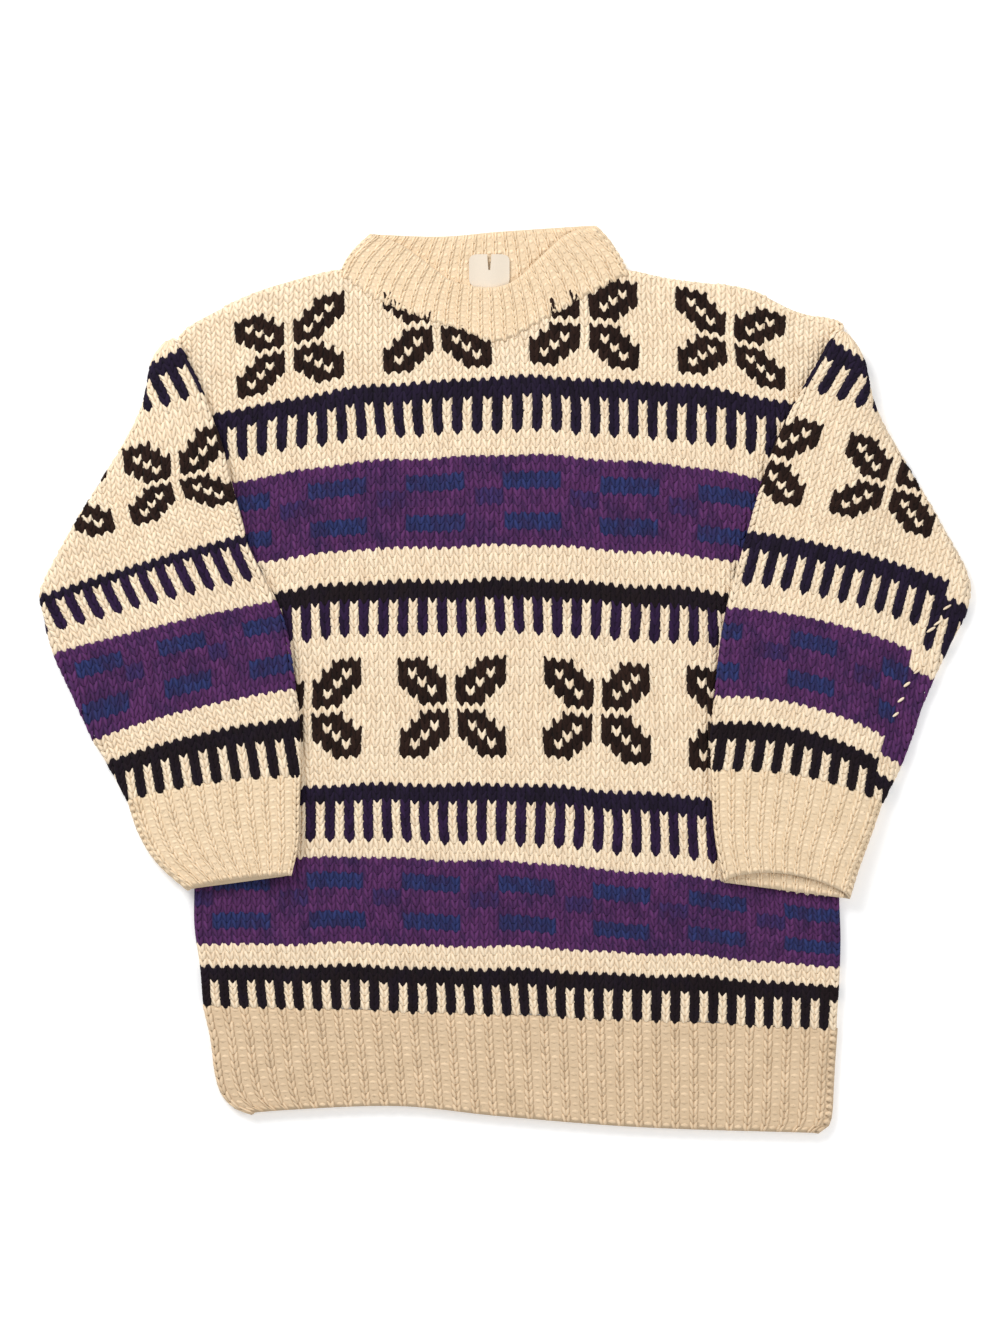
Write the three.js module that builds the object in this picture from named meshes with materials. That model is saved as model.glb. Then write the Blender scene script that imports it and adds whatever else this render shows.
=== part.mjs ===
// Chunky knit sweater, laid flat on its back. Millimetres, +X to the right sleeve, +Y to the collar,
// +Z up from the surface it lies on. Every piece is a wall of knitted cloth: a grid of points on the
// cloth's middle surface, thickened both ways along its normals.
import * as THREE from "three";

// ---- Driving dimensions ------------------------------------------------------------------------
const WALL = 4.5;              // thickness of the knitted cloth
const SEAM = 0.3;              // gap between two pieces sewn edge to edge
const LAYER = 0.6;             // gap between two layers that lie on each other
const PITCH = WALL + LAYER;    // height from one layer's middle to the next one's
const Z_BACK = WALL / 2;       // middle of the back panel, which lies on the surface
const Z_FRONT = Z_BACK + PITCH;
const Z_TUCK = Z_FRONT + PITCH;    // a sleeve's lower layer where it lies on the front panel
const Z_TOP = Z_TUCK + PITCH;      // a sleeve's upper layer there
const FOLD = PITCH / 2;        // bend radius of the middle surface where one layer turns into the next
const FOLD_ARC = (Math.PI / 2) * FOLD;    // cloth in a quarter of that bend
const FOLD_STEPS = 3;          // facets in a quarter bend

const SLEEVE_STEP = 19;        // run of a sleeve's lower layer from the front panel down to the surface
const SIDE_CLEAR = 1.5;        // how far past the body's side that step begins
const SLEEVE_SLOPE = 60;       // run of the upper layer's softer slope
const SEAM_REACH = 8;          // how far outside the body's side the underarm seam lies

const CREAM = 0xeadbb8;
const LABEL_WHITE = 0xf4f1ea;

// The body's side edges, from the hem's seam (at 0) to the shoulder tips (at 1).
const SIDES = [
  { at: 0, left: -255.5, right: 280.5 },
  { at: 0.17, left: -263, right: 282.5 },
  { at: 0.64, left: -270, right: 284 },
  { at: 1, left: -277, right: 285 },
];
const UNDERARM = { open: 0.69, closed: 0.62 };    // where the armholes start, on the same scale

// The hem's side edges, from its seam (at 0) to the cast-on edge (at 1), with rounded corners.
const HEM_SIDES = [
  { at: 0, left: -255.5, right: 280.5 },
  { at: 0.3, left: -249, right: 278.5 },
  { at: 0.6, left: -245.5, right: 277 },
  { at: 0.8, left: -240, right: 276 },
  { at: 0.93, left: -229, right: 273 },
  { at: 1, left: -214, right: 264 },
];
const HEM_SEAM = [
  { x: -262, y: -273 },
  { x: 0, y: -281 },
  { x: 284, y: -293 },
];
const HEM_EDGE = [
  { x: -255, y: -369 },
  { x: -180, y: -362.5 },
  { x: -88, y: -360 },
  { x: -9, y: -368 },
  { x: 111, y: -377.5 },
  { x: 262, y: -382.5 },
];

const LEFT_SHOULDER = [
  { x: -277, y: 288 },
  { x: -262, y: 300 },
  { x: -213, y: 325 },
  { x: -180, y: 336 },
  { x: -140, y: 345 },
];
const RIGHT_SHOULDER = [
  { x: 104, y: 345 },
  { x: 137, y: 337.5 },
  { x: 204, y: 329 },
  { x: 244, y: 310 },
  { x: 278, y: 303 },
  { x: 285, y: 299 },
];
const FRONT_NECK = [
  { x: -140, y: 345 },
  { x: -106, y: 322 },
  { x: -74, y: 308 },
  { x: -40, y: 297 },
  { x: -6, y: 287 },
  { x: 24, y: 301 },
  { x: 64, y: 324 },
  { x: 104, y: 345 },
];
const BACK_NECK = [
  { x: -140, y: 345 },
  { x: -135, y: 341.4 },
  { x: -100, y: 339.5 },
  { x: -18, y: 338 },
  { x: 64, y: 339.5 },
  { x: 99, y: 342 },
  { x: 104, y: 345 },
];
// The collar's open edge: the front half scoops down over the back half.
const COLLAR_FRONT = [
  { x: -114, y: 374 },
  { x: -88, y: 365 },
  { x: -60, y: 345 },
  { x: -44, y: 334 },
  { x: -13, y: 329 },
  { x: 8, y: 335 },
  { x: 31, y: 356 },
  { x: 52, y: 374 },
  { x: 77, y: 380 },
];
const COLLAR_BACK = [
  { x: -114, y: 374 },
  { x: -54, y: 372 },
  { x: -6, y: 376 },
  { x: 77, y: 381.5 },
];
const NECK_NOTCH = 5;          // how far the shoulder's corner draws back for the collar's side fold
const COLLAR_STEPS = { front: 16, back: 8, rows: 4 };
const PANEL_ROWS = 10;         // facets up a panel, below its shoulder folds
const SHOULDER_STEPS = 4;      // facets along each shoulder
const HEM_COLUMNS = 11;        // facets across a hem, between its side folds

// Sleeve sections from the shoulder tip to the wrist. Each runs straight across the sleeve, from its
// fold on the front panel (inX, inY) to its outer fold (outX, outY).
const LEFT_SLEEVE = [
  { at: 0, inX: -271, inY: 290, outX: -297, outY: 275 },
  { at: 0.04, inX: -268, inY: 268, outX: -300, outY: 253 },
  { at: 0.11, inX: -252, inY: 241, outX: -308, outY: 224 },
  { at: 0.23, inX: -236, inY: 196, outX: -336, outY: 170 },
  { at: 0.33, inX: -226, inY: 158, outX: -362, outY: 124 },
  { at: 0.45, inX: -214, inY: 112, outX: -391, outY: 62 },
  { at: 0.55, inX: -191, inY: 67, outX: -382, outY: 22 },
  { at: 0.64, inX: -180, inY: 33, outX: -366, outY: -12 },
  { at: 0.74, inX: -175, inY: -1, outX: -346, outY: -48 },
  { at: 0.84, inX: -171, inY: -41, outX: -331, outY: -76 },
  { at: 1, inX: -170, inY: -80, outX: -317, outY: -101 },
];
const LEFT_CUFF = [
  { at: 0, inX: -170, inY: -80, outX: -317, outY: -101 },
  { at: 0.35, inX: -171, inY: -109, outX: -307, outY: -130 },
  { at: 0.7, inX: -172, inY: -138, outX: -293, outY: -154 },
  { at: 1, inX: -178, inY: -164, outX: -268, outY: -176 },
];
const RIGHT_SLEEVE = [
  { at: 0, inX: 273, inY: 300, outX: 297, outY: 280 },
  { at: 0.04, inX: 267, inY: 275, outX: 304, outY: 256 },
  { at: 0.11, inX: 249, inY: 246, outX: 313, outY: 225 },
  { at: 0.23, inX: 227, inY: 203, outX: 339, outY: 173 },
  { at: 0.33, inX: 213, inY: 163, outX: 365, outY: 127 },
  { at: 0.45, inX: 202, inY: 124, outX: 392, outY: 72 },
  { at: 0.55, inX: 184, inY: 61, outX: 371, outY: 13 },
  { at: 0.64, inX: 178, inY: 25, outX: 356, outY: -24 },
  { at: 0.74, inX: 174, inY: -14, outX: 339, outY: -60 },
  { at: 0.84, inX: 171, inY: -37, outX: 331, outY: -78 },
  { at: 1, inX: 171, inY: -76, outX: 318, outY: -103 },
];
const RIGHT_CUFF = [
  { at: 0, inX: 171, inY: -76, outX: 318, outY: -103 },
  { at: 0.35, inX: 172, inY: -107, outX: 307, outY: -134 },
  { at: 0.7, inX: 175, inY: -138, outX: 297, outY: -161 },
  { at: 1, inX: 182, inY: -170, outX: 286, outY: -184 },
];
const SLEEVE_GRID = { floor: 6, outer: 6, top: 8, inner: 5, tuck: 6, rows: 13, cuffRows: 4 };

const LABEL = { x: -13.5, top: 357, width: 34, height: 21, thick: 0.6, corner: 4 };

// ---- Small helpers -----------------------------------------------------------------------------
const lerp = (a, b, t) => a + (b - a) * t;
const clamp = (t, low = 0, high = 1) => Math.min(high, Math.max(low, t));
const smooth = (t) => clamp(t) ** 2 * (3 - 2 * clamp(t));

/** A smooth curve through a table's rows: the value of one column where another equals key. */
function along(rows, keyName, valueName, key) {
  const last = rows.length - 1;
  let k = 0;
  while (k < last - 1 && key > rows[k + 1][keyName]) k += 1;
  const slope = (i, j) => (rows[j][valueName] - rows[i][valueName]) / (rows[j][keyName] - rows[i][keyName]);
  const startSlope = k > 0 ? slope(k - 1, k + 1) : slope(k, k + 1);
  const endSlope = k + 1 < last ? slope(k, k + 2) : slope(k, k + 1);
  const [a, b] = [rows[k], rows[k + 1]];
  const span = b[keyName] - a[keyName];
  const t = clamp((key - a[keyName]) / span);
  const [t2, t3] = [t * t, t * t * t];
  return (2 * t3 - 3 * t2 + 1) * a[valueName] + (t3 - 2 * t2 + t) * span * startSlope
    + (3 * t2 - 2 * t3) * b[valueName] + (t3 - t2) * span * endSlope;
}

/** n + 1 numbers from a to b, closer together at b for a power over 1. */
function spread(a, b, n, power = 1) {
  return Array.from({ length: n + 1 }, (_, k) => lerp(b, a, (1 - k / n) ** power));
}

/** How far a strip of cloth reaches, and how much it rises, after length along a bend of this angle. */
function bend(length, angle) {
  const curvature = angle / FOLD_ARC;
  if (curvature < 1e-6) return { reach: length, rise: 0 };
  return {
    reach: Math.sin(curvature * length) / curvature,
    rise: (1 - Math.cos(curvature * length)) / curvature,
  };
}

/** The cloth's unit normal at each point of a grid of middle points. */
function gridNormals(grid, closed) {
  const [rows, cols] = [grid.length, grid[0].length];
  const column = (i) => (closed ? (i + cols) % cols : clamp(i, 0, cols - 1));
  return grid.map((row, j) => row.map((_, i) => {
    const across = row[column(i + 1)].clone().sub(row[column(i - 1)]);
    const up = grid[Math.min(j + 1, rows - 1)][i].clone().sub(grid[Math.max(j - 1, 0)][i]);
    return across.cross(up).normalize();
  }));
}

/** A closed wall of cloth round a grid of middle points, which is a ring where closed is set. */
function wall(grid, { closed = false, normals = gridNormals(grid, closed) } = {}) {
  const [rows, cols] = [grid.length, grid[0].length];
  const positions = [];
  for (const side of [1, -1]) {
    grid.forEach((row, j) => row.forEach((point, i) => {
      const placed = point.clone().addScaledVector(normals[j][i], (side * WALL) / 2);
      positions.push(placed.x, placed.y, placed.z);
    }));
  }
  const id = (side, j, i) => side * rows * cols + j * cols + (i % cols);
  const triangles = [];
  const quad = (a, b, c, d) => triangles.push(a, b, c, a, c, d);
  const spans = closed ? cols : cols - 1;
  for (let j = 0; j < rows - 1; j += 1) {
    for (let i = 0; i < spans; i += 1) {
      quad(id(0, j, i), id(0, j, i + 1), id(0, j + 1, i + 1), id(0, j + 1, i));
      quad(id(1, j, i), id(1, j + 1, i), id(1, j + 1, i + 1), id(1, j, i + 1));
    }
  }
  for (let i = 0; i < spans; i += 1) {
    quad(id(0, 0, i), id(1, 0, i), id(1, 0, i + 1), id(0, 0, i + 1));
    quad(id(0, rows - 1, i), id(0, rows - 1, i + 1), id(1, rows - 1, i + 1), id(1, rows - 1, i));
  }
  if (!closed) {
    for (let j = 0; j < rows - 1; j += 1) {
      quad(id(0, j, 0), id(0, j + 1, 0), id(1, j + 1, 0), id(1, j, 0));
      quad(id(0, j, cols - 1), id(1, j, cols - 1), id(1, j + 1, cols - 1), id(0, j + 1, cols - 1));
    }
  }
  return facingOut(positions, triangles);
}

/** A geometry from positions and triangles, turned so that its faces point out. */
function facingOut(positions, triangles) {
  const point = (k) => new THREE.Vector3().fromArray(positions, 3 * k);
  let volume = 0;
  for (let k = 0; k < triangles.length; k += 3) {
    volume += point(triangles[k]).dot(point(triangles[k + 1]).cross(point(triangles[k + 2])));
  }
  if (volume < 0) {
    for (let k = 0; k < triangles.length; k += 3) {
      [triangles[k + 1], triangles[k + 2]] = [triangles[k + 2], triangles[k + 1]];
    }
  }
  const geometry = new THREE.BufferGeometry();
  geometry.setAttribute("position", new THREE.Float32BufferAttribute(positions, 3));
  geometry.setIndex(triangles);
  geometry.computeVertexNormals();
  return geometry;
}

function piece(name, geometry, color = CREAM) {
  const material = new THREE.MeshStandardMaterial({ color, roughness: 0.95, metalness: 0 });
  const mesh = new THREE.Mesh(geometry, material);
  mesh.name = name;
  return mesh;
}

// ---- Body: front and back panels with their hems ------------------------------------------------
/**
 * Places across a panel: flat cloth at the given shares of its flat width, with a strip at each end
 * that bends into the side fold. tilt is the bend so far, negative on the left.
 */
function acrossPanel(left, right, angle, shares) {
  const lean = (WALL / 2) * Math.sin(angle);
  const full = bend(FOLD_ARC, angle).reach;
  const [start, end] = [left + lean + full, right - lean - full];
  const strip = spread(0, FOLD_ARC, FOLD_STEPS).map((length) => (
    { ...bend(length, angle), tilt: (angle * length) / FOLD_ARC }));
  return [
    ...strip.toReversed().map(({ reach, rise, tilt }) => ({ x: start - reach, rise, tilt: -tilt })),
    ...shares.map((share) => ({ x: lerp(start, end, share), rise: 0, tilt: 0 })),
    ...strip.map(({ reach, rise, tilt }) => ({ x: end + reach, rise, tilt })),
  ];
}

/** The y of a panel's upper edge, and how far it bends into the shoulder's fold there. */
function panelTop(x, neck) {
  const inNeck = x > neck[0].x && x < neck.at(-1).x;
  if (inNeck) return { y: along(neck, "x", "y", x) - SEAM, angle: 0 };
  const shoulder = x < 0 ? LEFT_SHOULDER : RIGHT_SHOULDER;
  const atCollar = x === neck[0].x || x === neck.at(-1).x;
  return { y: along(shoulder, "x", "y", x) - (atCollar ? NECK_NOTCH : 0), angle: Math.PI / 2 };
}

/** x of the neck seam's points, which the panels and the collar share. */
function neckColumns(neck, steps) {
  const inset = WALL / 2 + FOLD;
  return spread(neck[0].x + inset, neck.at(-1).x - inset, steps);
}

/** Shares of a panel's flat width: its columns are at the neck seam's points and on the shoulders. */
function panelShares(neck, neckSteps) {
  const top = SIDES.at(-1);
  const [start, end] = [top.left + SEAM + FOLD_ARC, top.right - SEAM - FOLD_ARC];
  const columns = [
    ...spread(start, neck[0].x, SHOULDER_STEPS).slice(1),
    ...neckColumns(neck, neckSteps),
    ...spread(neck.at(-1).x, end, SHOULDER_STEPS).slice(0, -1),
  ];
  return columns.map((x) => (x - start) / (end - start));
}

/** A unit normal for cloth bent by tilt about Y and by top about X; turn is as in panel. */
function bentNormal(tilt, top, turn) {
  return new THREE.Vector3(
    -turn * Math.sin(tilt),
    -turn * Math.sin(top),
    Math.cos(tilt) * Math.cos(top),
  ).normalize();
}

/** One panel from the hem's seam to the shoulders. turn is 1 for a back that bends up, -1 for a front. */
function panel(neck, level, turn, neckSteps) {
  const shares = panelShares(neck, neckSteps);
  const rows = [...spread(0, 1, PANEL_ROWS).slice(0, -1), ...Array(FOLD_STEPS + 1).fill(1)];
  const [grid, normals] = [[], []];
  rows.forEach((at, j) => {
    const armhole = smooth((at - UNDERARM.closed) / (UNDERARM.open - UNDERARM.closed));
    const sideAngle = lerp(Math.PI / 2, 0, armhole);
    const left = along(SIDES, "at", "left", at) + SEAM * armhole;
    const right = along(SIDES, "at", "right", at) - SEAM * armhole;
    const length = (FOLD_ARC * Math.max(0, j - PANEL_ROWS)) / FOLD_STEPS;
    const places = acrossPanel(left, right, sideAngle, shares).map(({ x, rise, tilt }) => {
      const top = panelTop(x, neck);
      const lean = (WALL / 2) * Math.sin(top.angle);
      const flatTop = top.y - lean - bend(FOLD_ARC, top.angle).reach;
      const over = bend(length, top.angle);
      const lift = Math.min(rise + over.rise, FOLD - SEAM / 2);
      const low = along(HEM_SEAM, "x", "y", x) + SEAM;
      return {
        point: new THREE.Vector3(x, lerp(low, flatTop, at) + over.reach, level + turn * lift),
        normal: bentNormal(tilt, (top.angle * length) / FOLD_ARC, turn),
      };
    });
    grid.push(places.map(({ point }) => point));
    normals.push(places.map(({ normal }) => normal));
  });
  return wall(grid, { normals });
}

/** One hem from its cast-on edge to the panel's seam. */
function hem(level, turn) {
  const rows = HEM_SIDES.map(({ at }) => at).toReversed();
  const places = rows.map((at) => {
    const left = along(HEM_SIDES, "at", "left", at);
    const right = along(HEM_SIDES, "at", "right", at);
    return acrossPanel(left, right, Math.PI / 2, spread(0, 1, HEM_COLUMNS).slice(1, -1));
  });
  const grid = places.map((row, j) => row.map(({ x, rise }) => {
    const y = lerp(along(HEM_SEAM, "x", "y", x), along(HEM_EDGE, "x", "y", x), rows[j]);
    return new THREE.Vector3(x, y, level + turn * Math.min(rise, FOLD - SEAM / 2));
  }));
  return wall(grid, { normals: places.map((row) => row.map(({ tilt }) => bentNormal(tilt, 0, turn))) });
}

/** x of the body's side edge at height y on the left (-1) or right (1). */
function bodySide(y, hand) {
  const column = hand < 0 ? "left" : "right";
  const shoulder = hand < 0 ? LEFT_SHOULDER[0].y : RIGHT_SHOULDER.at(-1).y;
  const seam = along(HEM_SEAM, "x", "y", 270 * hand);
  return along(SIDES, "at", column, clamp((y - seam) / (shoulder - seam)));
}

// ---- Sleeves ------------------------------------------------------------------------------------
/** Where a section's line crosses the body's side edge, measured from the sleeve's inner fold. */
function edgeDistance(inner, direction, width, hand) {
  let [low, high] = [0, width];
  for (let k = 0; k < 30; k += 1) {
    const middle = (low + high) / 2;
    const outside = hand * (inner.x + direction.x * middle - bodySide(inner.y + direction.y * middle, hand));
    if (outside > 0) high = middle;
    else low = middle;
  }
  return (low + high) / 2;
}

/**
 * A sleeve's section as places (s from the inner fold, z): from the end that meets the back panel,
 * along the surface, round the outer fold, back over the top, round the inner fold and under it to
 * the end that meets the front panel. open is 1 along the armhole and 0 on the closed tube.
 */
function sleeveProfile(width, edge, open) {
  const drop = 2 * PITCH;
  const zTop = (s) => Z_TOP - drop * smooth((s - edge) / SLEEVE_SLOPE);
  const zTuck = (s) => Z_TUCK - drop * smooth((s - edge - SIDE_CLEAR) / SLEEVE_STEP);
  const zFloor = (s) => lerp(zTuck(s), Z_BACK, open);
  const innerCentre = WALL / 2 + FOLD;
  let radius = FOLD;
  for (let k = 0; k < 12; k += 1) {
    const centre = width - WALL / 2 - radius;
    radius = (zTop(centre) - zFloor(centre)) / 2;
  }
  const outerCentre = Math.max(width - WALL / 2 - radius, innerCentre + 1);
  const outerZ = (zTop(outerCentre) + zFloor(outerCentre)) / 2;
  const seam = Math.min(edge + SEAM_REACH * (1 - open), outerCentre - 2);
  const tuckEnd = Math.max(seam, innerCentre + 1.5);
  const floorStart = Math.min(seam + lerp(SEAM, 2 * SEAM, open), outerCentre - 1);
  const { floor, outer, top, inner, tuck } = SLEEVE_GRID;
  const arc = (centre, z, r, from, to, steps) => spread(from, to, steps).map((angle) => (
    { s: centre + r * Math.sin(angle), z: z - r * Math.cos(angle) }));
  return [
    ...spread(outerCentre, floorStart, floor, 1.7).toReversed().map((s) => ({ s, z: zFloor(s) })),
    ...arc(outerCentre, outerZ, radius, 0, Math.PI, outer).slice(1),
    ...spread(outerCentre, innerCentre, top).slice(1).map((s) => ({ s, z: zTop(s) })),
    ...arc(innerCentre, (Z_TOP + Z_TUCK) / 2, FOLD, -Math.PI, 0, inner).slice(1),
    ...spread(innerCentre, tuckEnd, tuck, 2.2).slice(1).map((s) => ({ s, z: zTuck(s) })),
  ];
}

/** The middle points and normals of one section of a sleeve or cuff. */
function sleeveSection(table, at, hand, { open = 0, closed = false, slip = 0 } = {}) {
  const value = (name) => along(table, "at", name, at);
  const inner = new THREE.Vector3(value("inX"), value("inY"), 0);
  const outer = new THREE.Vector3(value("outX"), value("outY"), 0);
  const width = outer.distanceTo(inner);
  const direction = outer.clone().sub(inner).divideScalar(width);
  const forward = new THREE.Vector3(-direction.y, direction.x, 0).multiplyScalar(hand < 0 ? 1 : -1);
  inner.addScaledVector(forward, slip);
  let places = sleeveProfile(width, edgeDistance(inner, direction, width, hand), open);
  if (closed) places = places.slice(0, -1);
  const count = places.length;
  const points = places.map(({ s, z }) => inner.clone().addScaledVector(direction, s).setZ(z));
  const normals = points.map((_, i) => {
    const next = points[closed ? (i + 1) % count : Math.min(i + 1, count - 1)];
    const before = points[closed ? (i + count - 1) % count : Math.max(i - 1, 0)];
    return next.clone().sub(before).cross(forward).normalize();
  });
  return { points, normals };
}

function sleeve(table, hand) {
  const openAt = (at) => {
    const row = { x: along(table, "at", "outX", at), y: along(table, "at", "inY", at) };
    const shoulder = hand < 0 ? LEFT_SHOULDER[0].y : RIGHT_SHOULDER.at(-1).y;
    const seam = along(HEM_SEAM, "x", "y", 270 * hand);
    const middle = lerp(row.y, along(table, "at", "outY", at), 0.4);
    const height = (middle - seam) / (shoulder - seam);
    return smooth((height - UNDERARM.closed) / (UNDERARM.open - UNDERARM.closed));
  };
  const sections = spread(0, 1, SLEEVE_GRID.rows - 1).map((at) => (
    sleeveSection(table, at, hand, { open: openAt(at) })));
  const grid = sections.map(({ points }) => points);
  return wall(grid, { normals: sections.map(({ normals }) => normals) });
}

function cuff(table, hand) {
  const sections = spread(0, 1, SLEEVE_GRID.cuffRows).map((at) => (
    sleeveSection(table, at, hand, { closed: true, slip: SEAM })));
  const grid = sections.map(({ points }) => points);
  return wall(grid, { closed: true, normals: sections.map(({ normals }) => normals) });
}

// ---- Collar and label ---------------------------------------------------------------------------
/** Half of the collar's ring on one level, between its two folds: points from left to right. */
function collarHalf(curve, level, steps) {
  return neckColumns(curve, steps).map((x) => new THREE.Vector3(x, along(curve, "x", "y", x), level));
}

/** The bend at one end of the collar's ring, without the two points that it joins. */
function collarFold(from, to, hand) {
  return spread(0, Math.PI, 2 * FOLD_STEPS).slice(1, -1).map((angle) => {
    const share = angle / Math.PI;
    return new THREE.Vector3(
      lerp(from.x, to.x, share) + hand * FOLD * Math.sin(angle),
      lerp(from.y, to.y, share),
      lerp(from.z, to.z, (1 - Math.cos(angle)) / 2),
    );
  });
}

function collar() {
  const ring = (front, back) => {
    const over = collarHalf(front, Z_FRONT, COLLAR_STEPS.front);
    const under = collarHalf(back, Z_BACK, COLLAR_STEPS.back).toReversed();
    return [...over, ...collarFold(over.at(-1), under[0], 1), ...under,
      ...collarFold(under.at(-1), over[0], -1)];
  };
  const seamRing = ring(FRONT_NECK, BACK_NECK);
  const edgeRing = ring(COLLAR_FRONT, COLLAR_BACK);
  const grid = spread(0, 1, COLLAR_STEPS.rows).map((at) => (
    seamRing.map((point, i) => point.clone().lerp(edgeRing[i], at))));
  const normals = gridNormals(grid, true);
  normals[0].forEach((normal) => normal.setY(0).normalize());    // keeps the seam's rim upright
  return wall(grid, { closed: true, normals });
}

function label() {
  const outline = new THREE.Shape();
  const [half, low, r] = [LABEL.width / 2, -LABEL.height, LABEL.corner];
  outline.moveTo(-half, 0);
  outline.lineTo(-half, low + r);
  outline.absarc(-half + r, low + r, r, Math.PI, 1.5 * Math.PI);
  outline.absarc(half - r, low + r, r, 1.5 * Math.PI, 2 * Math.PI);
  outline.lineTo(half, 0);
  const options = { depth: LABEL.thick, bevelEnabled: false, curveSegments: 4 };
  const geometry = new THREE.ExtrudeGeometry(outline, options);
  geometry.translate(LABEL.x, LABEL.top, Z_BACK + WALL / 2 + SEAM);
  return piece("neck_label", geometry, LABEL_WHITE);
}

// ---- The sweater --------------------------------------------------------------------------------
const sweater = new THREE.Group();
sweater.add(
  piece("back_panel", panel(BACK_NECK, Z_BACK, 1, COLLAR_STEPS.back)),
  piece("front_panel", panel(FRONT_NECK, Z_FRONT, -1, COLLAR_STEPS.front)),
  piece("back_hem", hem(Z_BACK, 1)),
  piece("front_hem", hem(Z_FRONT, -1)),
  piece("left_sleeve", sleeve(LEFT_SLEEVE, -1)),
  piece("right_sleeve", sleeve(RIGHT_SLEEVE, 1)),
  piece("left_cuff", cuff(LEFT_CUFF, -1)),
  piece("right_cuff", cuff(RIGHT_CUFF, 1)),
  piece("collar", collar()),
  label(),
);
export default sweater;
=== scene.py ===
"""Chunky knit sweater laid flat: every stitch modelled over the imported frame.

Tables and shapes are in millimetres; meshes are made in metres. A knitted piece is a map from
(column, row) to a place on the cloth's middle surface. A thin base wall follows that map, and
the stitches are pairs of leaf-shaped legs laid on it, each in the yarn that the chart gives.
"""
import logging
import math
from dataclasses import dataclass, field
from enum import Enum
from typing import Callable, Sequence

import bmesh
import bpy
import numpy as np
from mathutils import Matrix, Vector


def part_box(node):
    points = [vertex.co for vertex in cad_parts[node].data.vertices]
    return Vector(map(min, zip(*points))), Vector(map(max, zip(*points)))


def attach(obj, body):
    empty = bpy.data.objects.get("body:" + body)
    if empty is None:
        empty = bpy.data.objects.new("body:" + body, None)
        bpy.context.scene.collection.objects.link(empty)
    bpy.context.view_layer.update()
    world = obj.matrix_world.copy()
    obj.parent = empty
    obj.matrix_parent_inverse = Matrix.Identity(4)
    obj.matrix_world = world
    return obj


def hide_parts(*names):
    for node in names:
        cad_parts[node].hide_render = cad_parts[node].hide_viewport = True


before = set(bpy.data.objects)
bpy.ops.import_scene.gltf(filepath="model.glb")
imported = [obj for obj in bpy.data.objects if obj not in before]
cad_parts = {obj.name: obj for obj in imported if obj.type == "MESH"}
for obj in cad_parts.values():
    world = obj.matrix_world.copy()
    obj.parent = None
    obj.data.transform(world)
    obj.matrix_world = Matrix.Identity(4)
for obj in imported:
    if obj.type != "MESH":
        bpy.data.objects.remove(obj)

log = logging.getLogger("sweater")

# ---- The frame's own sizes ----------------------------------------------------------------------
MM = 0.001
BACK_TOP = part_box("back_panel")[1][2] / MM
FRONT_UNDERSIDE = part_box("front_panel")[0][2] / MM
MIDDLE_Z = (FRONT_UNDERSIDE + BACK_TOP) / 2     # between the front and the back
WALL = 4.5                                      # thickness of the knitted cloth
FOLD = MIDDLE_Z - WALL / 2                      # bend radius of the cloth's middle in a fold
FOLD_ARC = math.pi / 2 * FOLD
PITCH = 2 * FOLD                                # height from one layer to the next
Z_BACK = WALL / 2
Z_FRONT = Z_BACK + PITCH
Z_TUCK = Z_FRONT + PITCH
Z_TOP = Z_TUCK + PITCH
CENTRE_X = (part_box("collar")[0][0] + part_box("collar")[1][0]) / 2 / MM
BASE_WALL = 2.2                                 # the wall under the stitches
GAUGE = 8.1                                     # the width of a stitch on a sleeve
BODY_COLUMNS = 68
RIB_ROWS = 14


class Yarn(Enum):
    """The yarns in the sweater."""

    CREAM = 0
    NAVY = 1
    BLACK = 2
    BROWN = 3
    VIOLET = 4
    PURPLE = 5
    PLUM = 6
    BLUE = 7
    # Not a yarn of its own: the cream darkened for the hems, as painted shade where the light falls
    # off towards the bottom of the garment.
    CREAM_HEM_SHADE = 8
    ECRU = 9


# ---- Tables of shape ----------------------------------------------------------------------------
@dataclass(frozen=True)
class Edge:
    """One point, on an outline that is a function of x or on a line of sewing."""

    x: float
    y: float


@dataclass(frozen=True)
class Sides:
    """The two side edges at one height."""

    at: float
    left: float
    right: float


@dataclass(frozen=True)
class Course:
    """How a row of stitches lies: its height at the centre, its tilt and its bow."""

    y: float
    tilt: float
    bow: float


@dataclass(frozen=True)
class Band:
    """A band of the body's chart, with its rows and the height of its upper edge."""

    name: str
    rows: int
    top: float
    yarn: Yarn = Yarn.CREAM


@dataclass(frozen=True)
class Across:
    """A section across a sleeve: its row, its inner fold, its outer fold and its row's bow."""

    row: float
    in_x: float
    in_y: float
    out_x: float
    out_y: float
    bow: float = 0.0


SIDES = (
    Sides(0, -255.5, 280.5), Sides(0.17, -263, 282.5), Sides(0.64, -270, 284), Sides(1, -277, 285),
)
HEM_SIDES = (
    Sides(0, -255.5, 280.5), Sides(0.3, -249, 278.5), Sides(0.6, -245.5, 277),
    Sides(0.8, -240, 276), Sides(0.93, -229, 273), Sides(1, -214, 264),
)
HEM_RIBS = (Sides(0, -255.5, 280.5), Sides(1, -243, 277))    # the lean of the outer ribs
CORNER_REACH = 120.0        # the ribs this near a corner are drawn in by its rounding
HEM_SEAM = (Edge(-262, -273), Edge(0, -281), Edge(284, -293))
HEM_EDGE = (
    Edge(-255, -367.5), Edge(-180, -361), Edge(-88, -358), Edge(-9, -366), Edge(111, -375.5),
    Edge(262, -380.5),
)
SHOULDERS = (
    Edge(-277, 288), Edge(-262, 300), Edge(-213, 325), Edge(-180, 336), Edge(-140, 345),
    Edge(-18, 349), Edge(104, 345), Edge(137, 337.5), Edge(204, 329), Edge(244, 310),
    Edge(278, 303), Edge(285, 299),
)
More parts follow.
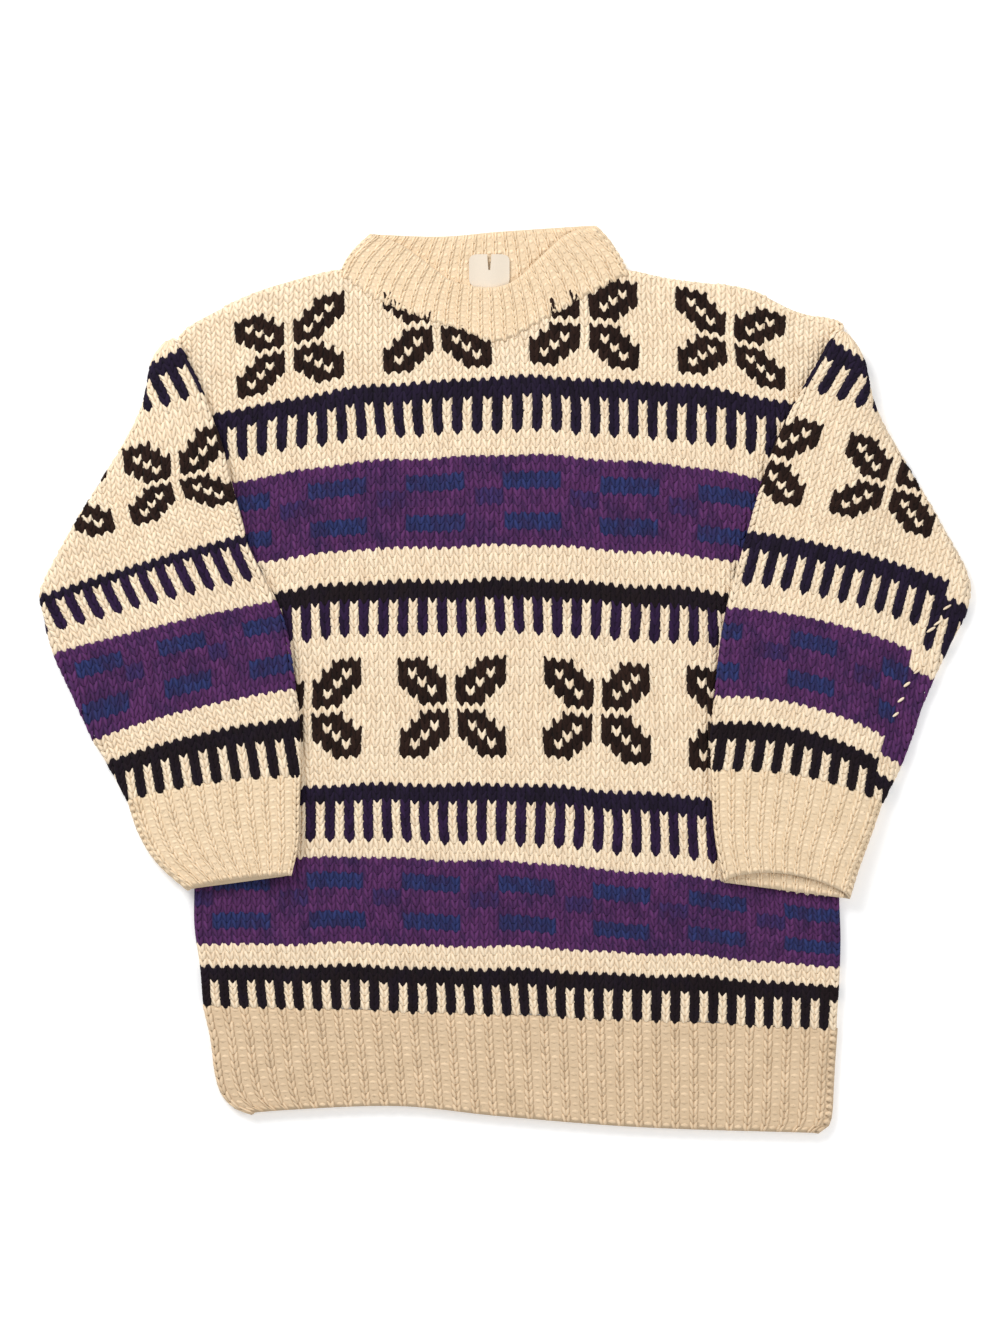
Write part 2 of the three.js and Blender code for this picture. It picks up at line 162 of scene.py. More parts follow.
FRONT_NECK = (
    Edge(-140, 345), Edge(-106, 322), Edge(-74, 308), Edge(-40, 297), Edge(-6, 287),
    Edge(24, 301), Edge(64, 324), Edge(104, 345),
)
BACK_NECK = (
    Edge(-140, 345), Edge(-135, 341.4), Edge(-100, 331), Edge(-18, 324), Edge(64, 331),
    Edge(99, 342), Edge(104, 345),
)
COLLAR_FRONT = (
    Edge(-114, 374), Edge(-88, 365), Edge(-60, 345), Edge(-44, 334), Edge(-13, 329), Edge(8, 335),
    Edge(31, 356), Edge(52, 374), Edge(77, 380),
)
COLLAR_BACK = (Edge(-114, 374), Edge(-54, 372), Edge(-6, 376), Edge(77, 381.5))
COURSES = (
    Course(-281, -10, 1.5), Course(-243, -8, 5), Course(-152, -14, 14), Course(-88, -8, 18),
    Course(83, -2.5, 22), Course(188, 0, 31), Course(253, 5, 32), Course(352, 5, 55),
)
HALF_WIDTH = 270.0          # the body's half width where the tilt of a course is measured
BANDS = (
    Band("comb_4", 6, -243.6, Yarn.BLACK), Band("plain", 3, -223.9),
    Band("dashes_2", 11, -152.5, Yarn.PURPLE), Band("plain", 2, -136.5),
    Band("comb_3", 7, -88.6, Yarn.NAVY), Band("plain", 4, -63.4),
    Band("motif_2", 11, 18.1, Yarn.BROWN), Band("plain", 3, 39.9),
    Band("comb_2", 6, 83.6, Yarn.BLACK), Band("plain", 4, 113),
    Band("dashes_1", 11, 188.6, Yarn.PURPLE), Band("plain", 3, 209.6),
    Band("comb_1", 6, 253.3, Yarn.NAVY), Band("plain", 2, 265),
    Band("motif_1", 11, 340, Yarn.BROWN), Band("plain", 5, 372),
)
LEFT_SLEEVE = (
    Across(0, -271, 290, -297, 275), Across(2, -269.5, 278, -298.5, 263),
    Across(8, -252, 241, -308, 224), Across(14.5, -236, 196, -338, 171),
    Across(21.5, -226, 158, -366, 126), Across(28, -217.5, 127, -391.5, 76, 2),
    Across(30.5, -214, 112, -390.5, 60, 2), Across(37, -191, 67, -381, 22, 2),
    Across(42.5, -180, 33, -366, -12, 3), Across(48, -174.5, -7, -348, -51, 5),
    Across(52, -171, -33, -336, -70, 6), Across(58, -170, -80, -319, -101, 5),
)
RIGHT_SLEEVE = (
    Across(0, 273, 300, 297, 280), Across(2, 271, 286, 302, 266), Across(8, 249, 246, 313, 225),
    Across(15, 227, 203, 342, 174), Across(21, 213, 163, 368, 129, 3),
    Across(28, 202, 124, 392, 75, 6), Across(37, 184, 61, 367, 13, 10),
    Across(42.5, 178, 25, 351, -24, 12), Across(48, 174, -14, 339, -60, 14),
    Across(51, 171, -37, 331, -78, 14), Across(57, 171, -76, 318, -103, 10),
)
LEFT_ANCHORS = ((0, 8, 18, 29, 48, 58), (24, 24, 38, 36, 42, 30))
RIGHT_ANCHORS = ((0, 8, 18, 28, 48, 57), (24, 24, 32, 34, 40, 30))
LEFT_CUFF = (
    Across(0, -170, -80, -319, -101, 5), Across(5, -171, -109, -309, -130, 4),
    Across(10, -172, -138, -293, -154, 2), Across(14, -178, -164, -268, -176),
)
RIGHT_CUFF = (
    Across(0, 171, -76, 318, -103, 10), Across(5, 172, -107, 307, -134, 8),
    Across(10, 175, -138, 297, -161, 4), Across(14, 182, -170, 290, -184),
)


def along(rows: Sequence, key: str, value: str, at: np.ndarray) -> np.ndarray:
    """Reads a smooth curve through a table.

    Args:
        rows: The table's rows, in the order of their key.
        key: The column that is looked up.
        value: The column that is read.
        at: Where to read it.

    Returns:
        The value at each place, held at the table's ends.
    """
    keys = np.array([getattr(row, key) for row in rows], float)
    values = np.array([getattr(row, value) for row in rows], float)
    steps = np.diff(values) / np.diff(keys)
    middle = (values[2:] - values[:-2]) / (keys[2:] - keys[:-2])
    slopes = np.concatenate([steps[:1], middle, steps[-1:]])
    at = np.clip(np.asarray(at, float), keys[0], keys[-1])
    k = np.clip(np.searchsorted(keys, at, side="right") - 1, 0, len(keys) - 2)
    span = keys[k + 1] - keys[k]
    t = (at - keys[k]) / span
    return (
        (2 * t**3 - 3 * t**2 + 1) * values[k] + (t**3 - 2 * t**2 + t) * span * slopes[k]
        + (3 * t**2 - 2 * t**3) * values[k + 1] + (t**3 - t**2) * span * slopes[k + 1]
    )


def smooth(t: np.ndarray) -> np.ndarray:
    """A soft step from 0 to 1."""
    t = np.clip(t, 0, 1)
    return t * t * (3 - 2 * t)


# ---- Charts -------------------------------------------------------------------------------------
PETAL = ("..XXX", ".XXoX", "XXoXX", "XoXX.", "XXX..")    # the upper right petal, from its top row
PETAL_SIZE = 5
MOTIF_ROWS = 2 * PETAL_SIZE + 1
MOTIF_REPEAT = 15
LAST_CENTRE = 62            # only whole motifs are knitted into the body
DASH_ROWS = 11
DASH_REPEAT = 10
BLUE_ROWS = (2, 3, 7, 8)
PLUM_ROWS = (5, 6)
PLUM_START = 7              # the first column of a plum patch between two dashes
COMB_SOLID = 2              # rows of a comb's solid edge
COMB_TEETH = 4


def motif_stitch(column: int, row: int) -> bool:
    """Whether a stitch of the flower motif is dark.

    Args:
        column: Stitches from the motif's centre.
        row: Rows up from the motif's centre.

    Returns:
        True for the dark yarn. The centre column and row are a cream cross.
    """
    if not (1 <= abs(column) <= PETAL_SIZE and 1 <= abs(row) <= PETAL_SIZE):
        return False
    return PETAL[PETAL_SIZE - abs(row)][abs(column) - 1] == "X"


def from_centre(column: int, repeat: int) -> int:
    """Stitches from the nearest centre, where centres repeat and column 0 is one of them."""
    half = repeat // 2
    return (column + half) % repeat - half


def comb_stitch(
        column: int, row_from_top: int, top: Yarn, teeth: Yarn, solid: int = COMB_SOLID) -> Yarn:
    """The yarn in a comb band.

    Args:
        column: The stitch's column.
        row_from_top: Its row, counted down from the band's upper edge.
        top: The yarn of the solid rows.
        teeth: The yarn of the teeth, which are every other column.
        solid: How many rows are solid.

    Returns:
        The yarn of the stitch.
    """
    if row_from_top < solid:
        return top
    return teeth if column % 2 == 0 else Yarn.CREAM


def dash_stitch(column: int, row: int, length: int = 6, repeat: int = DASH_REPEAT) -> Yarn:
    """The yarn in a purple band with blue dashes in two lines.

    Args:
        column: The stitch's column, from the start of a dash.
        row: Its row, counted up from the band's lower edge.
        length: How many stitches long a dash is.
        repeat: How many stitches it is from one dash to the next.

    Returns:
        The yarn of the stitch.
    """
    place = column % repeat
    if row in BLUE_ROWS and place < length:
        return Yarn.BLUE
    if row in PLUM_ROWS and place >= PLUM_START:
        return Yarn.PLUM
    return Yarn.PURPLE


@dataclass(frozen=True)
class BodyChart:
    """The body's colour-work, the same on the front and the back.

    Attributes:
        motif_centres: The column of a motif's centre, in the upper and the lower band of motifs.
        dash_starts: The column where a dash starts, in the upper and the lower band of dashes.
    """

    motif_centres: tuple[int, int] = (11, 12)
    dash_starts: tuple[int, int] = (3, 2)

    def yarn(self, column: int, row: int) -> Yarn:
        """The yarn of one stitch.

        Args:
            column: Counted from the left side.
            row: Counted up from the hem.

        Returns:
            The yarn.
        """
        start = 0
        for band in BANDS:
            if row < start + band.rows:
                return self.in_band(band, column, row - start)
            start += band.rows
        return Yarn.CREAM

    def in_band(self, band: Band, column: int, row: int) -> Yarn:
        """The yarn of one stitch of a band.

        Args:
            band: The band.
            column: Counted from the body's left side.
            row: Counted up from the band's lower edge.

        Returns:
            The yarn.
        """
        lower = band.name.endswith("2")
        if band.name.startswith("comb"):
            teeth = {"comb_1": Yarn.NAVY, "comb_2": Yarn.VIOLET, "comb_3": Yarn.VIOLET}
            return comb_stitch(
                column, band.rows - 1 - row, band.yarn, teeth.get(band.name, Yarn.BLACK))
        if band.name.startswith("dashes"):
            return dash_stitch(column - self.dash_starts[lower], row)
        if band.name.startswith("motif"):
            across = from_centre(column - self.motif_centres[lower], MOTIF_REPEAT)
            whole = 0 < column - across < LAST_CENTRE
            return Yarn.BROWN if whole and motif_stitch(across, row - PETAL_SIZE) else Yarn.CREAM
        return Yarn.CREAM


@dataclass(frozen=True)
class SleeveChart:
    """A sleeve's colour-work, in rows counted down from the armhole.

    Attributes:
        comb_b: The middle comb's first row.
        comb_c: The lowest comb's first row.
        solid_b: How many solid rows the middle comb has.
        teeth_b: The yarn of its teeth.
        motif_column: The column of a motif's centre.
        dash_column: The column where a dash starts.
        repeat: Stitches from one motif to the next.
        dash_repeat: Stitches from one dash to the next.
        seam_column: Past this column the pattern meets the seam's other side, out of step.
        seam_lean: How many columns nearer the seam comes with each row.
        seam_rows: The row below which the seam shows, and the row where seam_column is measured.
        seam_step: How many rows out of step the other side is.
        seam_dash: How long a dash is there.
        comb_a: The upper comb's first row.
        motif: The motifs' first row.
        dashes: The purple band's first row.
        dash_length: How long a dash is.
    """

    comb_b: int
    comb_c: int
    solid_b: int
    teeth_b: Yarn
    motif_column: int
    dash_column: int
    repeat: int = 14
    dash_repeat: int = DASH_REPEAT
    seam_column: float = 99.0
    seam_lean: float = 0.18
    seam_rows: tuple[int, int] = (24, 28)
    seam_step: int = 2
    seam_dash: int = 0
    comb_a: int = 2
    motif: int = 12
    dashes: int = 37
    dash_length: int = 5

    def yarn(self, column: int, row: int) -> Yarn:
        """The yarn of one stitch.

        Args:
            column: Counted from the middle wale towards the outer fold.
            row: Counted down from the armhole.

        Returns:
            The yarn.
        """
        shown_from, measured_at = self.seam_rows
        seam = self.seam_column - self.seam_lean * (row - measured_at)
        past_seam = row > shown_from and column > seam
        if past_seam:
            row -= self.seam_step
        if self.comb_a <= row < self.comb_a + COMB_SOLID + COMB_TEETH:
            return comb_stitch(column, row - self.comb_a, Yarn.NAVY, Yarn.NAVY)
        if self.motif <= row < self.motif + MOTIF_ROWS:
            across = from_centre(column - self.motif_column, self.repeat)
            up = self.motif + PETAL_SIZE - row
            return Yarn.BROWN if motif_stitch(across, up) else Yarn.CREAM
        if self.comb_b <= row < self.comb_b + self.solid_b + COMB_TEETH:
            from_top = row - self.comb_b
            return comb_stitch(column, from_top, Yarn.NAVY, self.teeth_b, self.solid_b)
        if self.dashes <= row < self.dashes + DASH_ROWS:
            length = self.seam_dash if past_seam else self.dash_length
            from_bottom = self.dashes + DASH_ROWS - 1 - row
            return dash_stitch(column - self.dash_column, from_bottom, length, self.dash_repeat)
        if self.comb_c <= row < self.comb_c + COMB_SOLID + COMB_TEETH:
            return comb_stitch(column, row - self.comb_c, Yarn.BLACK, Yarn.BLACK)
        return Yarn.CREAM


RIB_OVERRUN = (0.6, 0.0)    # a rib's last row is its free edge


# ---- Maps from the knitting to the cloth --------------------------------------------------------
@dataclass
class ClothMap:
    """The cloth's middle surface on a grid of rows and columns, in millimetres.

    Attributes:
        points: Places, indexed by row and then by column.
        columns: The column number of each grid column, evenly spaced.
        rows: The row number of each grid row, evenly spaced.
        outward: 1 or -1, which turns the normals to the cloth's right side.
        inside: Tells which cells hold cloth, for arrays of columns and rows.
        overrun: How far stitches may pass the first and the last row, in rows.
    """

    points: np.ndarray
    columns: np.ndarray
    rows: np.ndarray
    outward: int = 1
    inside: Callable[[np.ndarray, np.ndarray], np.ndarray] | None = None
    overrun: tuple[float, float] = (0.35, 0.35)
    normals: np.ndarray = field(init=False)

    def __post_init__(self) -> None:
        """Works out the normals from the grid."""
        across = np.gradient(self.points, axis=1)
        up = np.gradient(self.points, axis=0)
        normals = np.cross(across, up) * self.outward
        length = np.linalg.norm(normals, axis=2, keepdims=True)
        self.normals = normals / np.maximum(length, 1e-9)

    def place(self, column: np.ndarray, row: np.ndarray, height: np.ndarray) -> np.ndarray:
        """Places on the cloth.

        Args:
            column: Column numbers, with fractions.
            row: Row numbers, with fractions.
            height: Millimetres out from the middle surface.

        Returns:
            The places in millimetres, as rows of x, y and z.
        """
        column = np.clip(column, self.columns[0], self.columns[-1])
        row = np.clip(row, self.rows[0] - self.overrun[0], self.rows[-1] + self.overrun[1])
        u = (column - self.columns[0]) / (self.columns[1] - self.columns[0])
        v = (row - self.rows[0]) / (self.rows[1] - self.rows[0])
        i = np.clip(np.floor(u).astype(int), 0, len(self.columns) - 2)
        j = np.clip(np.floor(v).astype(int), 0, len(self.rows) - 2)
        fu, fv = (u - i)[..., None], (v - j)[..., None]
        corners = ((j, i, (1 - fu) * (1 - fv)), (j, i + 1, fu * (1 - fv)),
                   (j + 1, i, (1 - fu) * fv), (j + 1, i + 1, fu * fv))
        point = sum(self.points[a, b] * weight for a, b, weight in corners)
        normal = sum(self.normals[a, b] * weight for a, b, weight in corners)
        normal /= np.maximum(np.linalg.norm(normal, axis=-1, keepdims=True), 1e-9)
        return point + normal * np.asarray(height)[..., None]

    def holds(self, column: np.ndarray, row: np.ndarray) -> np.ndarray:
        """Whether there is cloth at each place.

        Args:
            column: Column numbers.
            row: Row numbers.

        Returns:
            True where there is cloth.
        """
        within = (column > self.columns[0]) & (column < self.columns[-1])
        within &= (row > self.rows[0]) & (row < self.rows[-1])
        return within if self.inside is None else within & self.inside(column, row)

    def spans(self) -> tuple[float, float]:
        """Measures the cloth's greatest width and length along it.

        Returns:
            The width and the length in metres.
        """
        columns = (self.columns[:-1] + self.columns[1:]) / 2
        rows = (self.rows[:-1] + self.rows[1:]) / 2
        held = self.holds(*np.meshgrid(columns, rows))
        across = np.linalg.norm(np.diff(self.points, axis=1), axis=2)[:-1] * held
        up = np.linalg.norm(np.diff(self.points, axis=0), axis=2)[:, :-1] * held
        return float(across.sum(axis=1).max()) * MM, float(up.sum(axis=0).max()) * MM

    def find(self, x: float, y: float) -> tuple[float, float]:
        """Finds the upper layer's cloth nearest to a place.

        Args:
            x: The place's x in millimetres.
            y: Its y.

        Returns:
            The column and the row.
        """
        gaps = np.hypot(self.points[..., 0] - x, self.points[..., 1] - y)
        gaps[self.normals[..., 2] < 0.3] = np.inf
        j, i = np.unravel_index(np.argmin(gaps), gaps.shape)
        return float(self.columns[i]), float(self.rows[j])

    def area(self) -> float:
        """Measures the cloth's area.

        Returns:
            The area in square metres.
        """
        columns = (self.columns[:-1] + self.columns[1:]) / 2
        rows = (self.rows[:-1] + self.rows[1:]) / 2
        across = np.diff(self.points, axis=1)[:-1]
        up = np.diff(self.points, axis=0)[:, :-1]
        cells = np.linalg.norm(np.cross(across, up), axis=2)
        cells[~self.holds(*np.meshgrid(columns, rows))] = 0
        return float(cells.sum()) * MM * MM


def wobble(points: np.ndarray, size: float) -> np.ndarray:
    """Shifts places in the plane by a few long waves, as hand knitting lies.

    Args:
        points: Places in millimetres.
        size: The largest shift of one wave.

    Returns:
        The places, shifted in x and y.
    """
    x, y = points[..., 0], points[..., 1]
    shift = np.zeros_like(points)
    shift[..., 0] = np.sin(x / 31 + y / 17) + 0.7 * np.sin(y / 9.3 + 1.9) * np.sin(x / 47)
    shift[..., 1] = np.sin(x / 23 + 0.8) + 0.8 * np.sin(x / 11.7 + y / 41)
    return points + size * shift


def fold_across(left: float, right: float, columns: np.ndarray) -> tuple[np.ndarray, np.ndarray]:
    """Spreads columns evenly over a front that bends down into a fold at both sides.

    Args:
        left: x of the left side.
        right: x of the right side.
        columns: Shares of the way across, from 0 to 1.

    Returns:
        x of each column, and how far it lies below the flat part.
    """
    start, end = left + WALL / 2 + FOLD, right - WALL / 2 - FOLD
    length = columns * (end - start + 2 * FOLD_ARC) - FOLD_ARC
    before = np.clip(-length / FOLD, 0, math.pi / 2)
    after = np.clip((length - (end - start)) / FOLD, 0, math.pi / 2)
    x = start + np.clip(length, 0, end - start) - FOLD * np.sin(before) + FOLD * np.sin(after)
    return x, FOLD * (2 - np.cos(before) - np.cos(after))


@dataclass
class Body:
    """The body's panels and hems.

    Attributes:
        below_comb: How far the hem seam lies under the top of the lowest comb.
        rise: How much higher than the shoulder's tip the table of sides ends.
        waves: The size of the waves in the rows.
        neck_lap: How far the panels run on under the collar.
        past_shoulder: The angle over the shoulder where a panel ends.
    """

    below_comb: float = 37.4
    rise: float = 30.0
    waves: float = 0.8
    neck_lap: float = 1.5
    past_shoulder: float = 1.45

    def panel_map(self, front: bool) -> ClothMap:
        """Shapes the front panel or the back panel.

        Args:
            front: Whether it is the front one.

        Returns:
            The map, with rows counted up from the hem seam.
        """
        tops = np.array([BANDS[0].top - self.below_comb, *(band.top for band in BANDS)])
        counts = np.cumsum([0, *(band.rows for band in BANDS)])
        rows = np.arange(0, counts[-1] + 1, 1.0)
        heights = np.interp(rows, counts, tops)
        columns = np.arange(0, BODY_COLUMNS + 0.25, 0.5)
        points = np.zeros((len(rows), len(columns), 3))
        low, high = heights[0], SHOULDERS[0].y
        for j, centre in enumerate(heights):
            at = np.clip((centre - low) / (high - low + self.rise), 0, 1)
            left, right = (float(along(SIDES, "at", name, at)) for name in ("left", "right"))
            x, below = fold_across(left, right, columns / BODY_COLUMNS)
            t = x / HALF_WIDTH
            y = centre + along(COURSES, "y", "tilt", centre) * t
            y -= along(COURSES, "y", "bow", centre) * t * t
            points[j, :, 0], points[j, :, 1], points[j, :, 2] = x, y, below
        points = wobble(points, self.waves)
        top = along(SHOULDERS, "x", "y", points[..., 0]) - WALL / 2 - FOLD
        over = np.clip((points[..., 1] - top) / FOLD, 0, math.pi / 2)
        points[..., 1] = np.where(over > 0, top + FOLD * np.sin(over), points[..., 1])
        below = np.minimum(points[..., 2] + FOLD * (1 - np.cos(over)), FOLD)
        points[..., 2] = Z_FRONT - below if front else Z_BACK + below
        neck = FRONT_NECK if front else BACK_NECK

        def inside(column: np.ndarray, row: np.ndarray) -> np.ndarray:
            """Leaves out the neck and whatever would lie past the shoulder seam.

            Args:
                column: Column numbers.
                row: Row numbers.

            Returns:
                True where there is cloth.
            """
            i = np.clip((np.asarray(column) * 2).astype(int), 0, len(columns) - 1)
            j = np.clip(np.asarray(row).astype(int), 0, len(rows) - 1)
            x, y = points[j, i, 0], points[j, i, 1]
            in_neck = (x > neck[0].x) & (x < neck[-1].x)
            clear = ~in_neck | (y < along(neck, "x", "y", x) + self.neck_lap)
            return clear & (over[j, i] < self.past_shoulder)

        return ClothMap(points, columns, rows, 1 if front else -1, inside)

    def hem_map(self, front: bool) -> ClothMap:
        """Shapes the front hem or the back hem.

        Args:
            front: Whether it is the front one.

        Returns:
            The map, with rows counted down from the seam.
        """
        rows = np.arange(0, RIB_ROWS + 1, 1.0)
        columns = np.arange(0, BODY_COLUMNS + 0.25, 0.5)
        points = np.zeros((len(rows), len(columns), 3))
        for j, row in enumerate(rows):
            at = row / RIB_ROWS
            left, right = (float(along(HEM_SIDES, "at", name, at)) for name in ("left", "right"))
            low, high = (float(along(HEM_RIBS, "at", name, at)) for name in ("left", "right"))
            x, below = fold_across(low, high, columns / BODY_COLUMNS)
            near_left = np.maximum(1 - (x - low) / CORNER_REACH, 0) ** 2
            near_right = np.maximum(1 - (high - x) / CORNER_REACH, 0) ** 2
            x = x + (left - low) * near_left + (right - high) * near_right
            seam, edge = along(HEM_SEAM, "x", "y", x), along(HEM_EDGE, "x", "y", x)
            points[j, :, 0], points[j, :, 1] = x, seam + (edge - seam) * at
            points[j, :, 2] = Z_FRONT - below if front else Z_BACK + below
        return ClothMap(points, columns, rows, -1 if front else 1, overrun=RIB_OVERRUN)


def body_side(y: np.ndarray, hand: int) -> np.ndarray:
    """Reads the body's side edge.

    Args:
        y: Heights.
        hand: -1 for the left side, 1 for the right.

    Returns:
        x at each height.
    """
    seam = float(along(HEM_SEAM, "x", "y", HALF_WIDTH * hand))
    shoulder = SHOULDERS[0].y if hand < 0 else SHOULDERS[-1].y
    return along(SIDES, "at", "left" if hand < 0 else "right", (y - seam) / (shoulder - seam))


TIP_CLOSING = ((0, 1, 2), (0.25, 0.85, 1.0))     # rows of a sleeve's tip, and shares of its girth


@dataclass
class Tube:
    """A sleeve or a cuff, folded flat over the body's side.

    Attributes:
        table: Sections from the armhole or the cuff's seam on down.
        hand: -1 for the left one, 1 for the right one.
        step: How far the under layer takes to come down from the body to the floor.
        slope: How far the top layer takes to come down.
        side_clear: The gap between the body's side and the start of that step.
        open_row: Above this row the armhole keeps the lower layer open.
        open_fade: How many rows that takes to end.
        seam_in: How far past the body's side the seam under the arm lies.
        reach: The first and last column numbers that may hold cloth.
    """

    table: tuple[Across, ...]
    hand: int
    step: float = 19.0
    slope: float = 60.0
    side_clear: float = 1.5
    open_row: float = -1.0
    open_fade: float = 4.0
    seam_in: float = 8.0
    reach: tuple[int, int] = (-30, 40)

    def section(self, row: float) -> tuple[np.ndarray, float, float]:
        """One section of the tube.

        Args:
            row: The row number, from the section table.

        Returns:
            Places along the section from the floor's end to the tucked end, their number along
            it where the top layer starts at the inner fold, and the section's length.
        """
        value = {name: float(along(self.table, "row", name, row))
                 for name in ("in_x", "in_y", "out_x", "out_y", "bow")}
        inner = np.array([value["in_x"], value["in_y"]])
        outer = np.array([value["out_x"], value["out_y"]])
        width = float(np.linalg.norm(outer - inner))
        direction = (outer - inner) / width
        steps = 79
        line = inner + direction * np.linspace(0, width, steps + 1)[:, None]
        outside = self.hand * (line[:, 0] - body_side(line[:, 1], self.hand)) > 0
        edge = float(np.argmax(outside)) / steps * width if outside.any() else width
        is_open = float(1 - smooth(np.array((row - self.open_row) / self.open_fade)))
        drop = 2 * PITCH

        def top(s: np.ndarray) -> np.ndarray:
            """Height of the top layer at a distance from the inner fold."""
            return Z_TOP - drop * smooth((s - edge) / self.slope)

        def tuck(s: np.ndarray) -> np.ndarray:
            """Height of the layer that is tucked under the top one."""
            return Z_TUCK - drop * smooth((s - edge - self.side_clear) / self.step)

        def floor(s: np.ndarray) -> np.ndarray:
            """Height of the lowest layer, which the armhole keeps on the floor."""
            return tuck(s) * (1 - is_open) + Z_BACK * is_open

        inner_centre, radius = WALL / 2 + FOLD, FOLD
        for _ in range(12):
            centre = width - WALL / 2 - radius
            radius = float(top(np.array(centre)) - floor(np.array(centre))) / 2
        outer_centre = max(width - WALL / 2 - radius, inner_centre + 1)
        outer_z = float(top(np.array(outer_centre)) + floor(np.array(outer_centre))) / 2
        seam = min(edge + self.seam_in * (1 - is_open), outer_centre - 2)
        parts = []
        s = np.linspace(min(seam + 0.4, outer_centre - 1), outer_centre, 40)
        parts.append(np.column_stack([s, floor(s)]))
        turn = np.linspace(0, math.pi, 16)[1:]
        parts.append(np.column_stack(
            [outer_centre + radius * np.sin(turn), outer_z - radius * np.cos(turn)]))
        s = np.linspace(outer_centre, inner_centre, 60)[1:]
        parts.append(np.column_stack([s, top(s)]))
        turn = np.linspace(-math.pi, 0, 14)[1:]
        parts.append(np.column_stack([
            inner_centre + FOLD * np.sin(turn), (Z_TOP + Z_TUCK) / 2 - FOLD * np.cos(turn)]))
        s = np.linspace(inner_centre, max(seam, inner_centre + 1.5), 40)[1:]
        parts.append(np.column_stack([s, tuck(s)]))
        places = np.concatenate(parts)
        forward = np.array([direction[1], -direction[0]]) * (1 if direction[0] > 0 else -1)
        share = np.clip(places[:, :1] / width, 0, 1)
        bowed = -4 * value["bow"] * share * (1 - share) * forward
        points = np.column_stack([inner + places[:, :1] * direction + bowed, places[:, 1]])
        lengths = np.concatenate([[0], np.cumsum(np.linalg.norm(np.diff(points, axis=0), axis=1))])
        top_end = len(parts[0]) + len(parts[1]) + len(parts[2]) - 1
        return np.column_stack([points, lengths]), float(lengths[top_end]), float(lengths[-1])

    def map(self, rows: int, anchors: tuple[Sequence[float], Sequence[float]]) -> ClothMap:
        """The tube's map.

        Args:
            rows: How many rows it has.
            anchors: Rows, and how far column 0 lies from the inner fold, over the top layer, there.

        Returns:
            The map, with columns counted towards the outer fold from column 0.
        """
        numbers = np.arange(self.reach[0], self.reach[1] + 0.25, 0.5)
        levels = np.arange(0, rows + 1, 1.0)
        points = np.zeros((len(levels), len(numbers), 3))
        held = np.zeros(points.shape[:2], bool)
        for j, row in enumerate(levels):
            places, top_end, total = self.section(row)
            at = top_end - float(np.interp(row, *anchors)) - numbers * GAUGE
            held[j] = (at > 0) & (at < total)
            for axis in range(3):
                points[j, :, axis] = np.interp(at, places[:, 3], places[:, axis])
            middle = places[:, :3].mean(axis=0)
            points[j] = middle + (points[j] - middle) * np.interp(row, *TIP_CLOSING)

        def inside(column: np.ndarray, row: np.ndarray) -> np.ndarray:
            """Leaves out columns past the seam under the arm.

            Args:
                column: Column numbers.
                row: Row numbers.

            Returns:
                True where there is cloth.
            """
            i = np.clip(((column - numbers[0]) * 2).astype(int), 0, len(numbers) - 2)
            j = np.clip(np.asarray(row).astype(int), 0, len(levels) - 2)
            return held[j, i] & held[j, i + 1] & held[j + 1, i] & held[j + 1, i + 1]

        return ClothMap(points, numbers, levels, -self.hand, inside)


@dataclass
class RibTube(Tube):
    """A cuff: a closed tube of rib, whose columns spread evenly round it.

    Attributes:
        columns: Its columns, an even number of them.
        lip: How far the upper layer's edge lies back from the lower one's.
        lip_round: How square the lip's curve is, from 1, a plain arch, towards 0.
    """

    columns: int = 44
    lip: float = 0.0
    lip_round: float = 0.6

    def rib_map(self) -> ClothMap:
        """Shapes the cuff.

        Returns:
            The map, with its last column meeting its first.
        """
        numbers = np.arange(0, self.columns + 0.25, 0.5)
        levels = np.arange(0, RIB_ROWS + 1, 1.0)
        points = np.zeros((len(levels), len(numbers), 3))
        for j, row in enumerate(levels):
            places, _, total = self.section(row)
            inner = places[np.argmin(self.hand * places[:, 0]), 3]
            outer = places[np.argmax(self.hand * places[:, 0]), 3]
            half = 2 * numbers / self.columns
            under = outer - (outer + total - inner) * (half - 1)
            at = np.where(half <= 1, inner + (outer - inner) * half, under)
            at = np.where(at < 0, at + total, at)
            for axis in range(3):
                points[j, :, axis] = np.interp(at, places[:, 3], places[:, axis])
            rise = self.lip * (row / RIB_ROWS) ** 2
            points[j, :, 1] += rise * np.sin(math.pi * np.clip(half, 0, 1)) ** self.lip_round
        seam = (points[:, 0] + points[:, -1]) / 2
        points[:, 0] = points[:, -1] = seam
        return ClothMap(points, numbers, levels, -self.hand, overrun=RIB_OVERRUN)


